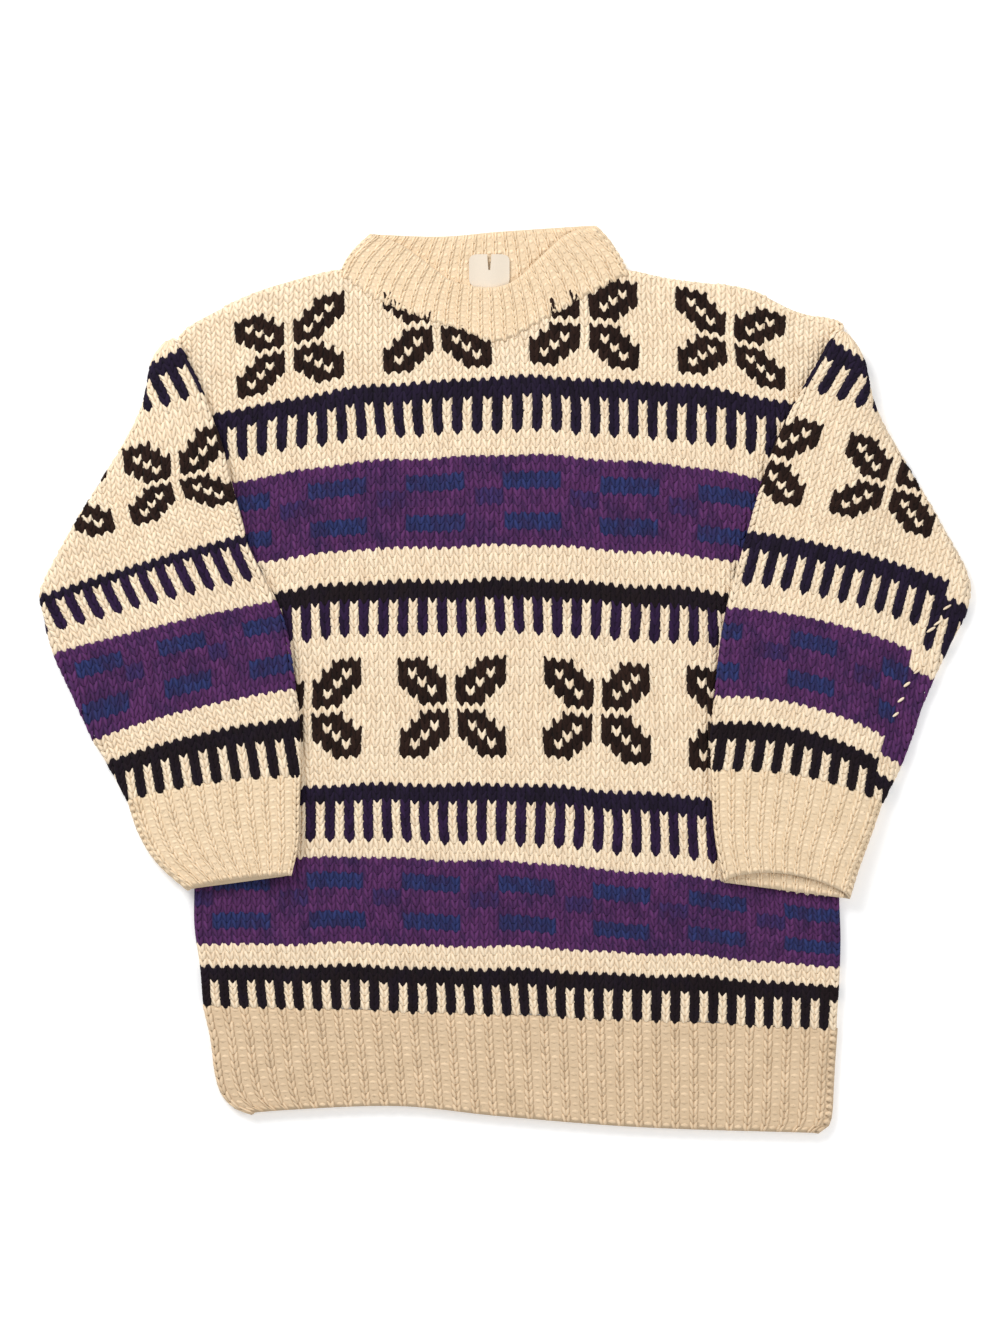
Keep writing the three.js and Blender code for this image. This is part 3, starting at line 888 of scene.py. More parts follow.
@dataclass
class Collar:
    """The ribbed collar: a flat ring whose front half scoops down over its back half.

    Attributes:
        columns: Its columns, an even number of them.
        rows: Its rows, from the neck seam to the free edge.
        lap: How far the seam row laps over the panels, as a share of the collar's height.
        lift: How much higher than the panels it lies at the seam.
        bulge: How far its ends stand out sideways, half way up.
        samples: Places along the front and along the back.
    """

    columns: int = 100
    rows: int = 8
    lap: float = 0.07
    lift: float = 0.9
    bulge: float = 4.0
    samples: int = 60

    def ring(self, front: Sequence[Edge], back: Sequence[Edge]) -> np.ndarray:
        """A closed line round one edge of the collar.

        Args:
            front: The edge's front outline.
            back: Its back outline.

        Returns:
            Places along the front, round the right fold, along the back and round the left fold.
        """
        inset, count = WALL / 2 + FOLD, self.samples
        x = np.linspace(front[0].x + inset, front[-1].x - inset, count)
        over = np.column_stack([x, along(front, "x", "y", x), np.full(count, Z_FRONT)])
        x = np.linspace(back[-1].x - inset, back[0].x + inset, count)
        under = np.column_stack([x, along(back, "x", "y", x), np.full(count, Z_BACK)])
        turns = np.linspace(0, math.pi, 12)[1:-1]

        def fold(start: np.ndarray, end: np.ndarray, hand: int) -> np.ndarray:
            """Bends round a fold.

            Args:
                start: Where the fold starts.
                end: Where it ends.
                hand: -1 for the left fold, 1 for the right.

            Returns:
                Places round the fold.
            """
            share = turns / math.pi
            return np.column_stack([
                start[0] + (end[0] - start[0]) * share + hand * FOLD * np.sin(turns),
                start[1] + (end[1] - start[1]) * share,
                start[2] + (end[2] - start[2]) * (1 - np.cos(turns)) / 2,
            ])

        return np.concatenate([over, fold(over[-1], under[0], 1), under,
                               fold(under[-1], over[0], -1), over[:1]])

    def map(self) -> ClothMap:
        """Shapes the collar.

        Returns:
            The map, with rows counted up from the neck seam.
        """
        numbers = np.arange(0, self.columns + 0.25, 0.5)
        levels = np.arange(0, self.rows + 1, 1.0)
        rings = []
        for line in (self.ring(FRONT_NECK, BACK_NECK), self.ring(COLLAR_FRONT, COLLAR_BACK)):
            steps = np.linalg.norm(np.diff(line, axis=0), axis=1)
            lengths = np.concatenate([[0], np.cumsum(steps)])
            at = numbers / self.columns * lengths[-1]
            rings.append(np.column_stack([np.interp(at, lengths, line[:, k]) for k in range(3)]))
        share = ((1 + self.lap) * levels / self.rows - self.lap)[:, None, None]
        points = rings[0][None] * (1 - share) + rings[1][None] * share
        points[..., 2] += self.lift * (1 - smooth(share[..., 0] * 3))
        outwards = (points[..., 0] - CENTRE_X) / (COLLAR_FRONT[-1].x - CENTRE_X)
        points[..., 0] += self.bulge * np.sin(math.pi * np.clip(share[..., 0], 0, 1)) * outwards
        return ClothMap(points, numbers, levels, 1, overrun=RIB_OVERRUN)


# ---- Finishes -----------------------------------------------------------------------------------
def linear(red: int, green: int, blue: int) -> tuple[float, float, float, float]:
    """A display colour as linear values."""
    values = (np.array([red, green, blue]) / 255 + 0.055) / 1.055
    return (*(float(v) for v in values**2.4), 1.0)


class Value:
    """A number's socket, whose arithmetic adds Math nodes."""

    def __init__(self, shader: "Shader", socket: bpy.types.NodeSocket) -> None:
        """Wraps a socket of a shader."""
        self.shader, self.socket = shader, socket

    def math(self, operation: str, other: "Value | float", swap: bool = False) -> "Value":
        """This value and another through one Math node."""
        first, second = (other, self) if swap else (self, other)
        return self.shader.add("ShaderNodeMath", {"operation": operation}, {0: first, 1: second})

    def __add__(self, other: "Value | float") -> "Value":
        """The sum."""
        return self.math("ADD", other)

    __radd__ = __add__

    def __mul__(self, other: "Value | float") -> "Value":
        """The product."""
        return self.math("MULTIPLY", other)

    __rmul__ = __mul__

    def __sub__(self, other: "Value | float") -> "Value":
        """The difference."""
        return self.math("SUBTRACT", other)

    def __rsub__(self, other: "Value | float") -> "Value":
        """The difference, the other way round."""
        return self.math("SUBTRACT", other, swap=True)


class Shader:
    """A material's node tree, built one node at a time."""

    def __init__(self, name: str) -> None:
        """Starts a material with a Principled shader.

        Args:
            name: The material's name.
        """
        self.material = bpy.data.materials.new(name)
        self.material.use_nodes = True
        self.tree = self.material.node_tree
        self.surface = self.tree.nodes["Principled BSDF"]

    def add(self, kind: str, settings: dict, inputs: dict, output: str | int = 0) -> Value:
        """Adds one node.

        Args:
            kind: The node's type.
            settings: Its properties, set first.
            inputs: Values or links of its sockets, by name or number.
            output: The output that is returned.

        Returns:
            The node's output, wrapped.
        """
        node = self.tree.nodes.new(kind)
        for name, value in settings.items():
            setattr(node, name, value)
        for name, value in inputs.items():
            if isinstance(value, Value):
                self.tree.links.new(value.socket, node.inputs[name])
            else:
                node.inputs[name].default_value = value
        return Value(self, node.outputs[output])

    def feed(self, name: str, value: Value) -> None:
        """Links a value to a socket of the Principled shader."""
        self.tree.links.new(value.socket, self.surface.inputs[name])

    def noise(self, place: Value, scale: float, detail: float) -> Value:
        """A noise from 0 to 1."""
        inputs = {"Vector": place, "Scale": scale, "Detail": detail}
        return self.add("ShaderNodeTexNoise", {}, inputs)

    def bump(self, height: Value, strength: float, distance: float) -> None:
        """Bumps the surface by a height."""
        inputs = {"Height": height, "Strength": strength, "Distance": distance}
        self.feed("Normal", self.add("ShaderNodeBump", {}, inputs))


PATCH_SCALE = 55.0          # patches of colour about 20 mm wide
FIBRE_SCALE = 900.0
SPECK_SCALE = 230.0
SPECK_LEVEL = 0.71          # higher than this the noise is a dark speck
FIBRE_SHARE = 0.6
TONE_SHARE = 0.5


@dataclass(frozen=True)
class WoolFinish:
    """A wool yarn.

    Attributes:
        name: The material's name.
        colour: Its colour.
        drift: The colour that it drifts to.
        spread: How much it drifts from patch to patch.
        shade: How much darker its darkest stitch is; the base wall under the stitches is darkened
            by all of it, as painted shade in the gaps between them.
        sheen: The sheen of its fuzz.
        specks: How much darker the specks are.
    """

    name: str
    colour: tuple[float, float, float, float]
    drift: tuple[float, float, float, float]
    spread: float = 0.5
    shade: float = 0.14
    sheen: float = 0.02
    specks: float = 0.16

    def material(self) -> bpy.types.Material:
        """Makes the yarn's material.

        Returns:
            The material.
        """
        shader = Shader(self.name)
        place = shader.add("ShaderNodeTexCoord", {}, {}, "Object")
        patches = shader.noise(place, PATCH_SCALE, 2.0)
        fibres = shader.noise(place, FIBRE_SCALE, 3.0)
        # tone differs at random from stitch to stitch; the base wall has tone 1 everywhere, so it
        # takes the drift colour and the full shade as painted shade between the stitches.
        tone = shader.add("ShaderNodeAttribute", {"attribute_name": "tone"}, {}, "Fac")
        specks = shader.noise(place, SPECK_SCALE, 1.0).math("GREATER_THAN", SPECK_LEVEL)
        drift = (patches - 0.5) * (2 * self.spread)
        amount = drift + (fibres - 0.5) * FIBRE_SHARE + tone * TONE_SHARE
        mixed = shader.add("ShaderNodeMix", {"data_type": "RGBA", "clamp_factor": True},
                           {0: amount, 6: self.colour, 7: self.drift}, 2)
        dim = 1.0 - tone * self.shade - specks * self.specks
        shaded = shader.add(
            "ShaderNodeMix", {"data_type": "RGBA", "blend_type": "MULTIPLY", "clamp_factor": True},
            {0: 1.0, 6: mixed, 7: self.grey(shader, dim)}, 2)
        shader.feed("Base Color", shaded)
        shader.bump(fibres, 0.35, 0.0006)
        surface = shader.surface
        surface.inputs["Roughness"].default_value = 0.95
        surface.inputs["Specular IOR Level"].default_value = 0.05
        surface.inputs["Sheen Weight"].default_value = self.sheen
        surface.inputs["Sheen Roughness"].default_value = 0.6
        return shader.material

    def grey(self, shader: Shader, value: Value) -> Value:
        """A grey as light as a value."""
        return shader.add("ShaderNodeCombineColor", {}, {0: value, 1: value, 2: value})


YARN_FINISHES = {
    Yarn.CREAM: WoolFinish("wool_cream", linear(248, 229, 201), linear(240, 215, 183), 0.5, 0.1),
    Yarn.ECRU: WoolFinish("wool_ecru", linear(244, 221, 189), linear(233, 207, 171), 0.5, 0.1),
    # The hems' darker cream is painted shade for the light falling off towards the bottom.
    Yarn.CREAM_HEM_SHADE: WoolFinish("wool_cream_hem_shade", linear(233, 207, 174), linear(219, 192, 158), 0.6, 0.12),
    Yarn.NAVY: WoolFinish("wool_navy", linear(40, 31, 52), linear(34, 28, 38), 0.9, 0.3),
    Yarn.BLACK: WoolFinish("wool_black", linear(34, 26, 29), linear(38, 30, 42), 0.9, 0.3),
    Yarn.BROWN: WoolFinish("wool_brown", linear(48, 33, 28), linear(36, 26, 24), 0.8, 0.3),
    Yarn.VIOLET: WoolFinish("wool_violet", linear(50, 33, 64), linear(38, 28, 46), 0.9, 0.3),
    Yarn.PURPLE: WoolFinish("wool_purple", linear(96, 53, 102), linear(68, 45, 87), 1.2, 0.3),
    Yarn.PLUM: WoolFinish("wool_plum", linear(64, 50, 98), linear(78, 46, 88), 1.2, 0.3),
    Yarn.BLUE: WoolFinish("wool_blue", linear(50, 58, 106), linear(60, 48, 90), 1.2, 0.3),
}


class Palette:
    """Makes each yarn's material once."""

    def __init__(self) -> None:
        """Starts with no material made."""
        self.made: dict[Yarn, bpy.types.Material] = {}

    def material(self, yarn: Yarn) -> bpy.types.Material:
        """Gives a yarn's material.

        Args:
            yarn: The yarn.

        Returns:
            Its material, made the first time it is asked for.
        """
        if yarn not in self.made:
            self.made[yarn] = YARN_FINISHES[yarn].material()
        return self.made[yarn]


# ---- Stitches -----------------------------------------------------------------------------------
@dataclass(frozen=True)
class Leg:
    """One leg of a stitch, in columns and rows from the cell's lower left corner.

    Attributes:
        foot: Where its lower end is.
        head: Where its upper end is.
        width: Its widest, in columns, or in rows where the leg lies across.
        thick: Its half thickness in millimetres.
        height: Its middle's height over the cloth's middle surface, in millimetres.
        lean: How much higher its foot is than its head, in millimetres.
    """

    foot: tuple[float, float]
    head: tuple[float, float]
    width: float
    thick: float = 1.15
    height: float = 1.15
    lean: float = 0.35


KNIT = (
    Leg((0.43, -0.32), (0.15, 1.12), 0.52),
    Leg((0.57, -0.32), (0.85, 1.12), 0.52),
)
DARK_KNIT = (
    Leg((0.46, -0.46), (0.10, 1.32), 0.64, 1.2, 1.34),
    Leg((0.54, -0.46), (0.90, 1.32), 0.64, 1.2, 1.34),
)
RIB_KNIT = (
    Leg((0.40, -0.30), (0.16, 1.12), 0.54, 1.25, 1.35, 0.35),
    Leg((0.60, -0.30), (0.84, 1.12), 0.54, 1.25, 1.35, 0.35),
)
PURL = (Leg((0.02, 0.5), (0.98, 0.5), 0.95, 0.95, 0.7, 0.0),)


PLACE_JITTER = (0.025, 0.03)    # how much hand-made stitches differ, in columns and rows
REACH_JITTER = 0.05
WIDTH_JITTER = 0.07
TONE_JITTER = 0.28


@dataclass
class Stitches:
    """Stitches on a map: copies of a leaf shape, bent to the cloth.

    Attributes:
        cloth: The map that they lie on.
        flip: -1 where rows are counted down, which turns the stitches over.
        segments: Faces round a leaf.
        rings: Faces along a leaf.
        seed: The seed of what differs from stitch to stitch.
        leaf_points: The leaf's points.
        leaf_faces: The leaf's faces, by the numbers of their points.
    """

    cloth: ClothMap
    flip: int = 1
    segments: int = 4
    rings: int = 4
    seed: int = 1
    leaf_points: np.ndarray = field(init=False)
    leaf_faces: list[tuple[int, ...]] = field(init=False)

    def __post_init__(self) -> None:
        """Makes the leaf, whose length runs along z from -1 to 1."""
        shape = bmesh.new()
        bmesh.ops.create_uvsphere(shape, u_segments=self.segments, v_segments=self.rings, radius=1)
        shape.verts.ensure_lookup_table()
        self.leaf_points = np.array([vert.co[:] for vert in shape.verts])
        self.leaf_faces = [tuple(vert.index for vert in face.verts) for face in shape.faces]
        shape.free()

    def lay(self, cells: np.ndarray, legs: Sequence[Leg]) -> tuple[np.ndarray, np.ndarray]:
        """Lays the legs of stitches on the cloth.

        Args:
            cells: The column and row of each stitch's cell.
            legs: The legs of one stitch.

        Returns:
            Points in metres, and each point's tone from 0 to 1.
        """
        random = np.random.default_rng(self.seed)
        points, tones = [], []
        leaf = self.leaf_points
        for leg in legs:
            foot, head = np.array(leg.foot), np.array(leg.head)
            jitter = random.normal(0, 1, (len(cells), 5))
            middle = (foot + head) / 2 + jitter[:, :2] * PLACE_JITTER
            reach = (head - foot) / 2 * (1 + REACH_JITTER * jitter[:, 2:3])
            width = leg.width / 2 * (1 + WIDTH_JITTER * jitter[:, 3])
            upright = abs(head[1] - foot[1]) > abs(head[0] - foot[0])
            swell = leaf[None, :, 0] * width[:, None]
            along_leg = leaf[None, :, 2]
            column = middle[:, :1] + along_leg * reach[:, :1] + (swell if upright else 0)
            row = middle[:, 1:] + along_leg * reach[:, 1:] + (0 if upright else swell)
            if self.flip < 0:
                row = 1 - row
            height = leg.height + leg.thick * leaf[None, :, 1] - leg.lean / 2 * along_leg
            height = np.broadcast_to(height, column.shape)
            points.append(self.cloth.place(cells[:, :1] + column, cells[:, 1:] + row, height))
            tone = np.clip(0.5 + TONE_JITTER * jitter[:, 4], 0, 1)
            tones.append(np.broadcast_to(tone[:, None], column.shape))
        return np.concatenate(points) * MM, np.concatenate(tones)

    def piece(self, name: str, layers: Sequence[tuple[np.ndarray, np.ndarray]],
              materials: Sequence[bpy.types.Material]) -> bpy.types.Object | None:
        """Joins laid stitches into one object.

        Args:
            name: The object's name.
            layers: For each material, the points and tones that lay returned.
            materials: The materials, in the same order.

        Returns:
            The object, or None where there is no stitch.
        """
        points = np.concatenate([places.reshape(-1, 3) for places, _ in layers])
        tones = np.concatenate([tone.reshape(-1) for _, tone in layers])
        count = len(points) // len(self.leaf_points)
        if count == 0:
            return None
        faces = self.leaf_faces
        sizes = np.array([len(face) for face in faces])
        loops = np.concatenate([np.array(face) for face in faces])
        offsets = np.arange(count)[:, None] * len(self.leaf_points)
        mesh = bpy.data.meshes.new(name)
        mesh.vertices.add(len(points))
        mesh.vertices.foreach_set("co", points.astype(np.float32).ravel())
        mesh.loops.add(len(loops) * count)
        mesh.loops.foreach_set("vertex_index", (loops[None] + offsets).astype(np.int32).ravel())
        starts = np.concatenate([[0], np.cumsum(np.tile(sizes, count))[:-1]])
        mesh.polygons.add(len(starts))
        mesh.polygons.foreach_set("loop_start", starts.astype(np.int32))
        index = np.concatenate([
            np.full(places.reshape(-1, 3).shape[0] // len(self.leaf_points) * len(faces), k)
            for k, (places, _) in enumerate(layers)])
        mesh.polygons.foreach_set("material_index", index.astype(np.int32))
        mesh.polygons.foreach_set("use_smooth", np.ones(len(starts), bool))
        mesh.update(calc_edges=True)
        tone_layer = mesh.attributes.new("tone", "FLOAT", "POINT")
        tone_layer.data.foreach_set("value", tones.astype(np.float32))
        for material in materials:
            mesh.materials.append(material)
        self.face_out(mesh)
        made = bpy.data.objects.new(name, mesh)
        bpy.context.collection.objects.link(made)
        return made

    def face_out(self, mesh: bpy.types.Mesh) -> None:
        """Turns the leaves' faces outwards if the map turned them inwards.

        Args:
            mesh: The mesh of leaves.
        """
        size = len(self.leaf_points)
        points = np.empty(len(mesh.vertices) * 3, np.float32)
        mesh.vertices.foreach_get("co", points)
        first = points.reshape(-1, 3)[:size].astype(float)
        centre = first.mean(axis=0)
        score = 0.0
        for face in self.leaf_faces:
            a, b, c = (first[k] for k in face[:3])
            score += float(np.dot(np.cross(b - a, c - a), a - centre))
        if score < 0:
            mesh.flip_normals()


GROUPS = {
    "cream": (Yarn.CREAM, Yarn.CREAM_HEM_SHADE, Yarn.ECRU),
    "dark": (Yarn.NAVY, Yarn.BLACK, Yarn.BROWN, Yarn.VIOLET),
    "bright": (Yarn.PURPLE, Yarn.PLUM, Yarn.BLUE),
}


@dataclass
class KnitPart:
    """One knitted part: its base wall and its stitches, which stand for one CAD node.

    Attributes:
        node: The CAD node.
        cloth: Its map.
        palette: The yarns' materials.
        chart: The yarn of each stitch, or None for a rib.
        flip: -1 where the map's rows are counted down.
        rings: Faces along a stitch's leg.
        both_sides: Whether a rib shows on the inside too.
        slot: The name of a material slot; not used.
        plain: The yarn of a rib.
    """

    node: str
    cloth: ClothMap
    palette: Palette
    chart: Callable[[int, int], Yarn] | None = None
    flip: int = 1
    rings: int = 4
    both_sides: bool = False
    slot: str = "knit_patterned"
    plain: Yarn = Yarn.CREAM

    def cells(self) -> tuple[np.ndarray, np.ndarray]:
        """Lists the stitches.

        Returns:
            The column and row of each cell that holds a stitch, and the value of its yarn.
        """
        columns = np.arange(math.floor(self.cloth.columns[0]), math.ceil(self.cloth.columns[-1]))
        rows = np.arange(0, int(self.cloth.rows[-1]))
        grid = np.stack(np.meshgrid(columns, rows), axis=-1).reshape(-1, 2)
        grid = grid[self.cloth.holds(grid[:, 0] + 0.5, grid[:, 1] + 0.5)]
        yarn = np.zeros(len(grid), int)
        if self.chart:
            yarn = np.array([self.chart(int(c), int(r)).value for c, r in grid])
        return grid, yarn

    def base(self) -> bpy.types.Object:
        """Makes the wall under the stitches, in the chart's yarns at their darkest, as painted
        shade in the gaps between the stitches.

        Returns:
            The wall, with one face to a stitch.
        """
        low, high = math.floor(self.cloth.columns[0]), math.ceil(self.cloth.columns[-1])
        rows = int(self.cloth.rows[-1])
        shape = bmesh.new()
        across = high - low
        bmesh.ops.create_grid(shape, x_segments=across, y_segments=rows, size=0.5)
        column = np.array([round((v.co.x + 0.5) * across) + low for v in shape.verts], float)
        row = np.array([round((v.co.y + 0.5) * rows) for v in shape.verts], float)
        places = self.cloth.place(column, row, np.full(len(column), BASE_WALL / 2)) * MM
        yarns = [self.plain]
        dropped = []
        spots = [face.calc_center_median() for face in shape.faces]
        cells = [(math.floor((c.x + 0.5) * across) + low, math.floor((c.y + 0.5) * rows))
                 for c in spots]
        for face, (c, r) in zip(list(shape.faces), cells):
            if not self.cloth.holds(np.array([c + 0.5]), np.array([r + 0.5]))[0]:
                dropped.append(face)
                continue
            yarn = self.chart(c, r) if self.chart else self.plain
            if yarn not in yarns:
                yarns.append(yarn)
            face.material_index = yarns.index(yarn)
            face.smooth = True
        for vert, place in zip(shape.verts, places):
            vert.co = place
        bmesh.ops.delete(shape, geom=dropped, context="FACES")
        bmesh.ops.remove_doubles(shape, verts=shape.verts, dist=1e-6)
        shape.normal_update()
        sample = shape.faces[:][len(shape.faces) // 2]
        out = self.outward(np.array(sample.calc_center_median()) / MM)
        if sample.normal.dot(out) < 0:
            bmesh.ops.reverse_faces(shape, faces=shape.faces)
            shape.normal_update()
        bmesh.ops.solidify(shape, geom=shape.faces[:], thickness=BASE_WALL * MM)
        bmesh.ops.recalc_face_normals(shape, faces=shape.faces)
        mesh = bpy.data.meshes.new(self.node + "_base")
        shape.to_mesh(mesh)
        shape.free()
        # Tone 1 all over gives the wall its yarn's darkest colour: painted shade in the gaps
        # between the stitches.
        tone = mesh.attributes.new("tone", "FLOAT", "POINT")
        tone.data.foreach_set("value", np.full(len(mesh.vertices), 1.0, np.float32))
        for yarn in yarns:
            mesh.materials.append(self.palette.material(yarn))
        made = bpy.data.objects.new(mesh.name, mesh)
        bpy.context.collection.objects.link(made)
        return made

    def outward(self, place: np.ndarray) -> np.ndarray:
        """Tells which way is out.

        Args:
            place: A place in millimetres.

        Returns:
            The map's normal nearest to it.
        """
        gaps = np.linalg.norm(self.cloth.points - place, axis=2)
        j, i = np.unravel_index(np.argmin(gaps), gaps.shape)
        return self.cloth.normals[j, i]

    def stitches(self) -> list[bpy.types.Object]:
        """Makes the stitches.

        Returns:
            One object for each group of yarns.
        """
        grid, yarn = self.cells()
        knitter = Stitches(self.cloth, self.flip, rings=self.rings)
        made = []
        for group, yarns in GROUPS.items():
            used = [kind for kind in yarns if (yarn == kind.value).any()]
            legs = DARK_KNIT if group == "dark" else KNIT
            layers = [knitter.lay(grid[yarn == kind.value].astype(float), legs) for kind in used]
            if layers:
                name = f"{self.node}_{group}_stitches"
                materials = [self.palette.material(kind) for kind in used]
                made.append(knitter.piece(name, layers, materials))
        return made

    def ribs(self) -> list[bpy.types.Object]:
        """Makes a rib: knit columns standing over purl columns.

        Returns:
            One object for each side that shows.
        """
        grid, _ = self.cells()
        made = []
        for side in (1, -1) if self.both_sides else (1,):
            cloth = ClothMap(self.cloth.points, self.cloth.columns, self.cloth.rows,
                             self.cloth.outward * side, self.cloth.inside, self.cloth.overrun)
            knitter = Stitches(cloth, self.flip, rings=self.rings, seed=3 + side)
            even = grid[:, 0] % 2 == (0 if side > 0 else 1)
            layers = [knitter.lay(grid[even].astype(float), RIB_KNIT),
                      knitter.lay(grid[~even].astype(float), PURL)]
            points = np.concatenate([layers[0][0], layers[1][0]])
            tones = np.concatenate([layers[0][1], layers[1][1]])
            name = f"{self.node}_{'outer' if side > 0 else 'inner'}_rib"
            made.append(knitter.piece(name, [(points, tones)], [self.palette.material(self.plain)]))
        return made

    def build(self) -> None:
        """Builds the part, hides the CAD node that it stands for, and logs how its cloth was cut
        and how many stitch triangles it has.
        """
        base = self.base()
        legs = [piece for piece in (self.stitches() if self.chart else self.ribs()) if piece]
        for piece in (base, *legs):
            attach(piece, "root")
        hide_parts(self.node)
        width, length = self.cloth.spans()
        log.info("%s: flat %.3f x %.3f m, area %.4f", self.node, width, length, self.cloth.area())
        self.cloth.area()
        triangles = sum(len(p.vertices) - 2 for piece in legs for p in piece.data.polygons)
        log.info("%s: %d stitch triangles in %d pieces", self.node, triangles, len(legs))


@dataclass
class Label:
    """The bare woven label sewn inside the back of the collar.

    Attributes:
        thick: Its thickness.
        slit: The length of the slit down from its upper edge.
        tucked: How far it runs down behind the front of the collar.
        corner: The radius of its lower corners.
        top_corner: The radius of its upper corners.
        gape: How much wider than one face the slit is at its top.
        gape_reach: How far from the slit the label gives way to it.
        wave: The height of the waves in it.
        wave_length: The length of a wave, divided by a full turn.
        columns: Faces across, an odd number, as the slit takes the middle one.
        rows: Faces up.
        lift: The height of its upper face where it is lowest, over the stitches of the collar.
    """

    thick: float = 0.5
    slit: float = 13.5
    tucked: float = 7.5
    corner: float = 8.0
    top_corner: float = 5.5
    gape: float = 2.4
    gape_reach: float = 6.0
    wave: float = 0.5
    wave_length: float = 4.5
    columns: int = 25
    rows: int = 28
    lift: float = 5.2

    def build(self) -> None:
        """Makes the label from its CAD solid's box, with rounded corners and a slit."""
        low, high = (np.array(corner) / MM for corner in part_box("neck_label"))
        low[1] -= self.tucked
        shape = bmesh.new()
        bmesh.ops.create_grid(shape, x_segments=self.columns, y_segments=self.rows, size=0.5)
        centre, size = (low + high) / 2, high - low
        cut = [face for face in shape.faces
               if abs(face.calc_center_median().x) < 0.5 / self.columns
               and face.calc_center_median().y * size[1] > size[1] / 2 - self.slit]
        bmesh.ops.delete(shape, geom=cut, context="FACES")
        for vert in shape.verts:
            x, y = vert.co.x * size[0], vert.co.y * size[1]
            inset = sum(radius - math.sqrt(radius**2 - max(radius - away, 0.0) ** 2)
                        for radius, away in ((self.corner, y + size[1] / 2),
                                             (self.top_corner, size[1] / 2 - y)))
            x *= 1 - 2 * inset / size[0]
            gape = math.exp(-((x / self.gape_reach) ** 2)) * max(0.0, y / size[1])
            x += math.copysign(self.gape * gape, x)
            wave = self.wave * math.sin(x / self.wave_length + 1) + self.wave
            vert.co = ((centre[0] + x) * MM, (centre[1] + y) * MM, (self.lift + wave) * MM)
        bmesh.ops.solidify(shape, geom=shape.faces[:], thickness=self.thick * MM)
        bmesh.ops.recalc_face_normals(shape, faces=shape.faces)
        mesh = bpy.data.meshes.new("label_patch")
        shape.to_mesh(mesh)
        shape.free()
        mesh.materials.append(self.material())
        made = bpy.data.objects.new("label_patch", mesh)
        bpy.context.collection.objects.link(made)
        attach(made, "root")
        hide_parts("neck_label")
        log.info("neck_label: built")

    def material(self) -> bpy.types.Material:
        """Makes the material of white woven tape.

        Returns:
            The material.
        """
        shader = Shader("label_tape")
        place = shader.add("ShaderNodeTexCoord", {}, {}, "Object")
        weave = shader.add("ShaderNodeTexNoise", {}, {"Vector": place, "Scale": 1500.0})
        colour = shader.add("ShaderNodeMix", {"data_type": "RGBA"},
                            {0: weave, 6: linear(228, 215, 198), 7: linear(219, 205, 185)}, 2)
        shader.feed("Base Color", colour)
        shader.bump(weave, 0.3, 0.0003)
        shader.surface.inputs["Roughness"].default_value = 0.7
        return shader.material


# ---- The sweater --------------------------------------------------------------------------------
CUFF_LIPS = {"left_cuff": 3.0, "right_cuff": 14.0}
MENDING = (
    Edge(369, 60), Edge(363, 49), Edge(358, 39), Edge(344, 5.5), Edge(336, -4), Edge(332, -14),
    Edge(326, -27),
)


class Sweater:
    """The whole garment."""

    def __init__(self) -> None:
        """Starts with no yarn made."""
        self.palette = Palette()

    def build(self) -> None:
        """Builds every part in order."""
        self.body()
        self.sleeves()
        self.rib_parts()
        Label().build()

    def body(self) -> None:
        """The front and back panels."""
        body, chart = Body(), BodyChart()
        for node, front in (("front_panel", True), ("back_panel", False)):
            KnitPart(node, body.panel_map(front), self.palette, chart.yarn,
                     rings=4 if front else 3).build()
        for node, front in (("front_hem", True), ("back_hem", False)):
            # The hems are knitted in the cream that is darkened as painted shade towards the
            # bottom.
            KnitPart(node, body.hem_map(front), self.palette, None, flip=-1,
                     rings=4 if front else 3, slot="rib_cream", plain=Yarn.CREAM_HEM_SHADE).build()

    def sleeves(self) -> None:
        """Both sleeves."""
        left = Tube(LEFT_SLEEVE, -1, open_row=28)
        right = Tube(RIGHT_SLEEVE, 1, open_row=27)
        left_chart = SleeveChart(comb_b=29, comb_c=52, solid_b=1, teeth_b=Yarn.VIOLET,
                                 motif_column=0, dash_column=3, repeat=13, dash_repeat=9)
        right_chart = SleeveChart(comb_b=28, comb_c=51, solid_b=2, teeth_b=Yarn.NAVY,
                                  motif_column=8, dash_column=2, seam_column=16.5)
        left_map, right_map = left.map(58, LEFT_ANCHORS), right.map(57, RIGHT_ANCHORS)
        KnitPart("left_sleeve", left_map, self.palette, left_chart.yarn, flip=-1).build()
        KnitPart("right_sleeve", right_map, self.palette, right_chart.yarn, flip=-1).build()
        self.mending(right_map)

    def mending(self, cloth: ClothMap) -> None:
        """Adds running stitches of cream thread along the right sleeve's seam.

        Args:
            cloth: The right sleeve's map.
        """
        cells = np.array([cloth.find(place.x, place.y) for place in MENDING])
        leg = Leg((0.36, -0.5), (-0.36, 0.5), 0.34, 0.8, 2.6, 0.0)
        knitter = Stitches(cloth, 1, segments=6, rings=6, seed=9)
        thread = knitter.piece("right_sleeve_mending", [knitter.lay(cells, [leg])],
                               [self.palette.material(Yarn.CREAM)])
        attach(thread, "root")

    def rib_parts(self) -> None:
        """The cuffs and the collar."""
        for node, table, hand in (("left_cuff", LEFT_CUFF, -1), ("right_cuff", RIGHT_CUFF, 1)):
            cuff = RibTube(table, hand, lip=CUFF_LIPS[node])
            KnitPart(node, cuff.rib_map(), self.palette, None, flip=-1,
                     both_sides=hand > 0, slot="rib_cream", plain=Yarn.ECRU).build()
        KnitPart("collar", Collar().map(), self.palette, None, both_sides=True,
                 slot="rib_cream", plain=Yarn.ECRU).build()


@dataclass(frozen=True)
class Lamp:
    """A square soft light: its name, its place, its size in metres and its power in watts."""

    name: str
    place: tuple[float, float, float]
    size: float
    power: float


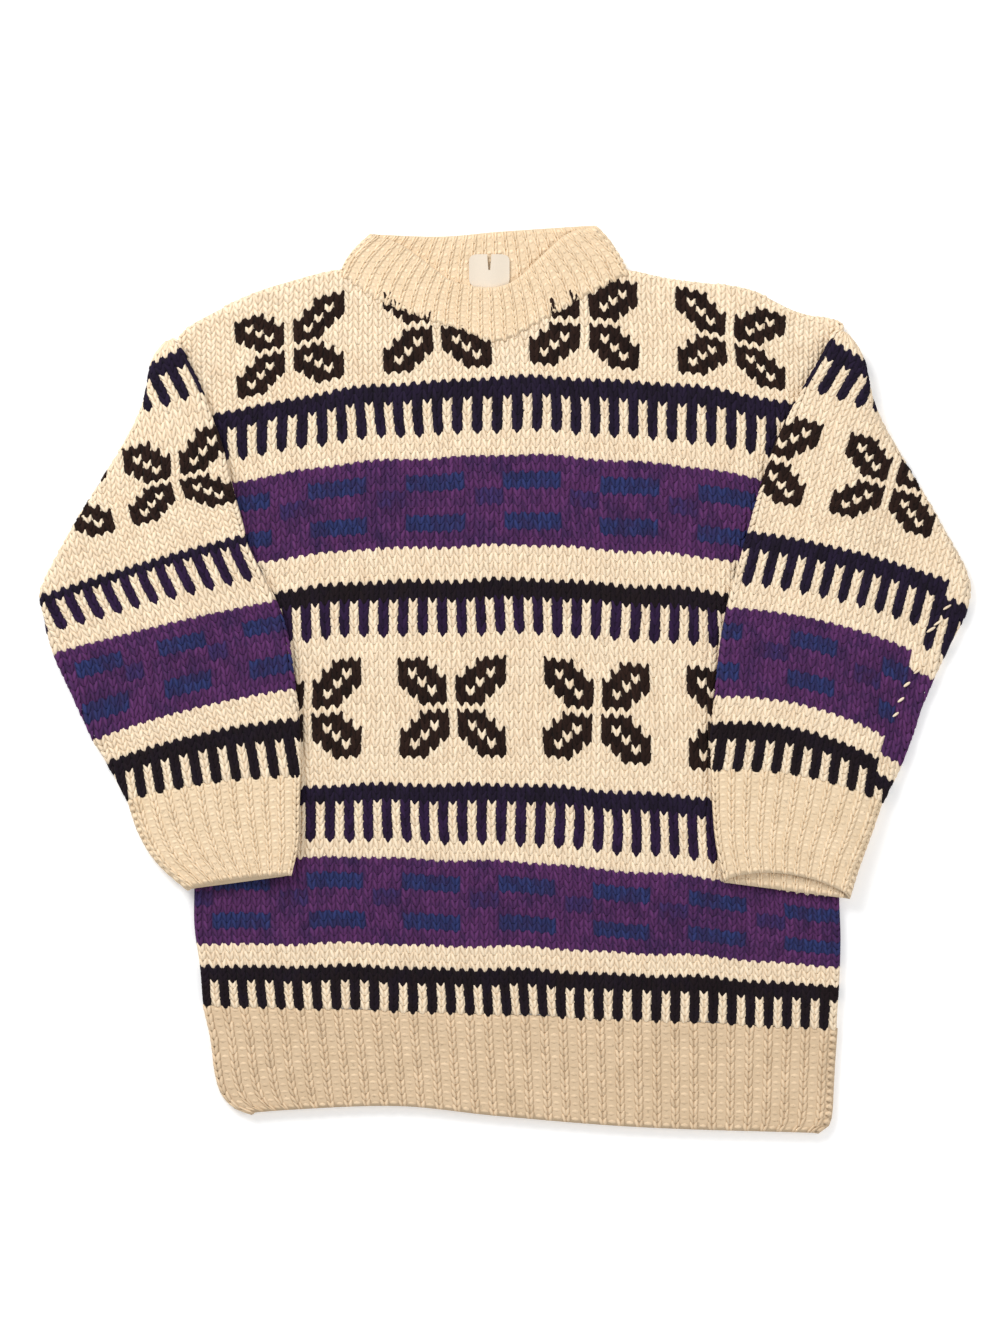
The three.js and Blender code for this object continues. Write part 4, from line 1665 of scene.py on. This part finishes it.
@dataclass
class Studio:
    """The floor, the lights and the camera, in metres."""

    floor_size: float = 60.0
    floor_drop: float = 0.0005
    floor_glow: float = 0.2
    lamps: tuple[Lamp, ...] = (
        Lamp("key_light", (-1.5, 1.9, 1.9), 1.5, 72),
        Lamp("fill_light", (1.8, -0.4, 2.4), 2.0, 26),
    )
    daylight: float = 0.5
    lens: float = 161.0
    camera_place: tuple[float, float, float] = (-0.0045, 0.0109, 5.01)

    def floor(self) -> None:
        """A wide pale floor."""
        shape = bmesh.new()
        bmesh.ops.create_grid(shape, x_segments=1, y_segments=1, size=self.floor_size)
        bmesh.ops.translate(shape, verts=shape.verts, vec=(0, 0, -self.floor_drop))
        mesh = bpy.data.meshes.new("studio_floor")
        shape.to_mesh(mesh)
        shape.free()
        shader = Shader("floor_paper")
        shader.surface.inputs["Base Color"].default_value = (0.95, 0.95, 0.95, 1)
        shader.surface.inputs["Roughness"].default_value = 0.9
        shader.surface.inputs["Emission Color"].default_value = (1, 1, 1, 1)
        shader.surface.inputs["Emission Strength"].default_value = self.floor_glow
        mesh.materials.append(shader.material)
        made = bpy.data.objects.new("studio_floor", mesh)
        bpy.context.collection.objects.link(made)

    def light(self, lamp: Lamp) -> None:
        """Hangs a lamp, aimed at the garment's middle.

        Args:
            lamp: The lamp.
        """
        light = bpy.data.lights.new(lamp.name, "AREA")
        light.shape = "SQUARE"
        light.size = lamp.size
        light.energy = lamp.power
        made = bpy.data.objects.new(lamp.name, light)
        bpy.context.collection.objects.link(made)
        made.location = lamp.place
        made.rotation_euler = (-Vector(lamp.place)).to_track_quat("-Z", "Y").to_euler()

    def build(self) -> None:
        """Sets the whole studio up."""
        self.floor()
        for lamp in self.lamps:
            self.light(lamp)
        world = bpy.context.scene.world or bpy.data.worlds.new("studio")
        bpy.context.scene.world = world
        world.use_nodes = True
        background = world.node_tree.nodes["Background"]
        background.inputs["Color"].default_value = (1, 1, 1, 1)
        background.inputs["Strength"].default_value = self.daylight
        camera = bpy.data.cameras.new("camera")
        camera.lens = self.lens
        made = bpy.data.objects.new("camera", camera)
        bpy.context.collection.objects.link(made)
        made.location = self.camera_place
        bpy.context.scene.camera = made
        bpy.context.scene.view_settings.view_transform = "Standard"


def main() -> None:
    """Builds the sweater and its studio."""
    logging.basicConfig(level=logging.INFO, format="%(name)s: %(message)s")
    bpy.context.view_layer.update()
    Sweater().build()
    Studio().build()


if __name__ == "__main__":
    main()
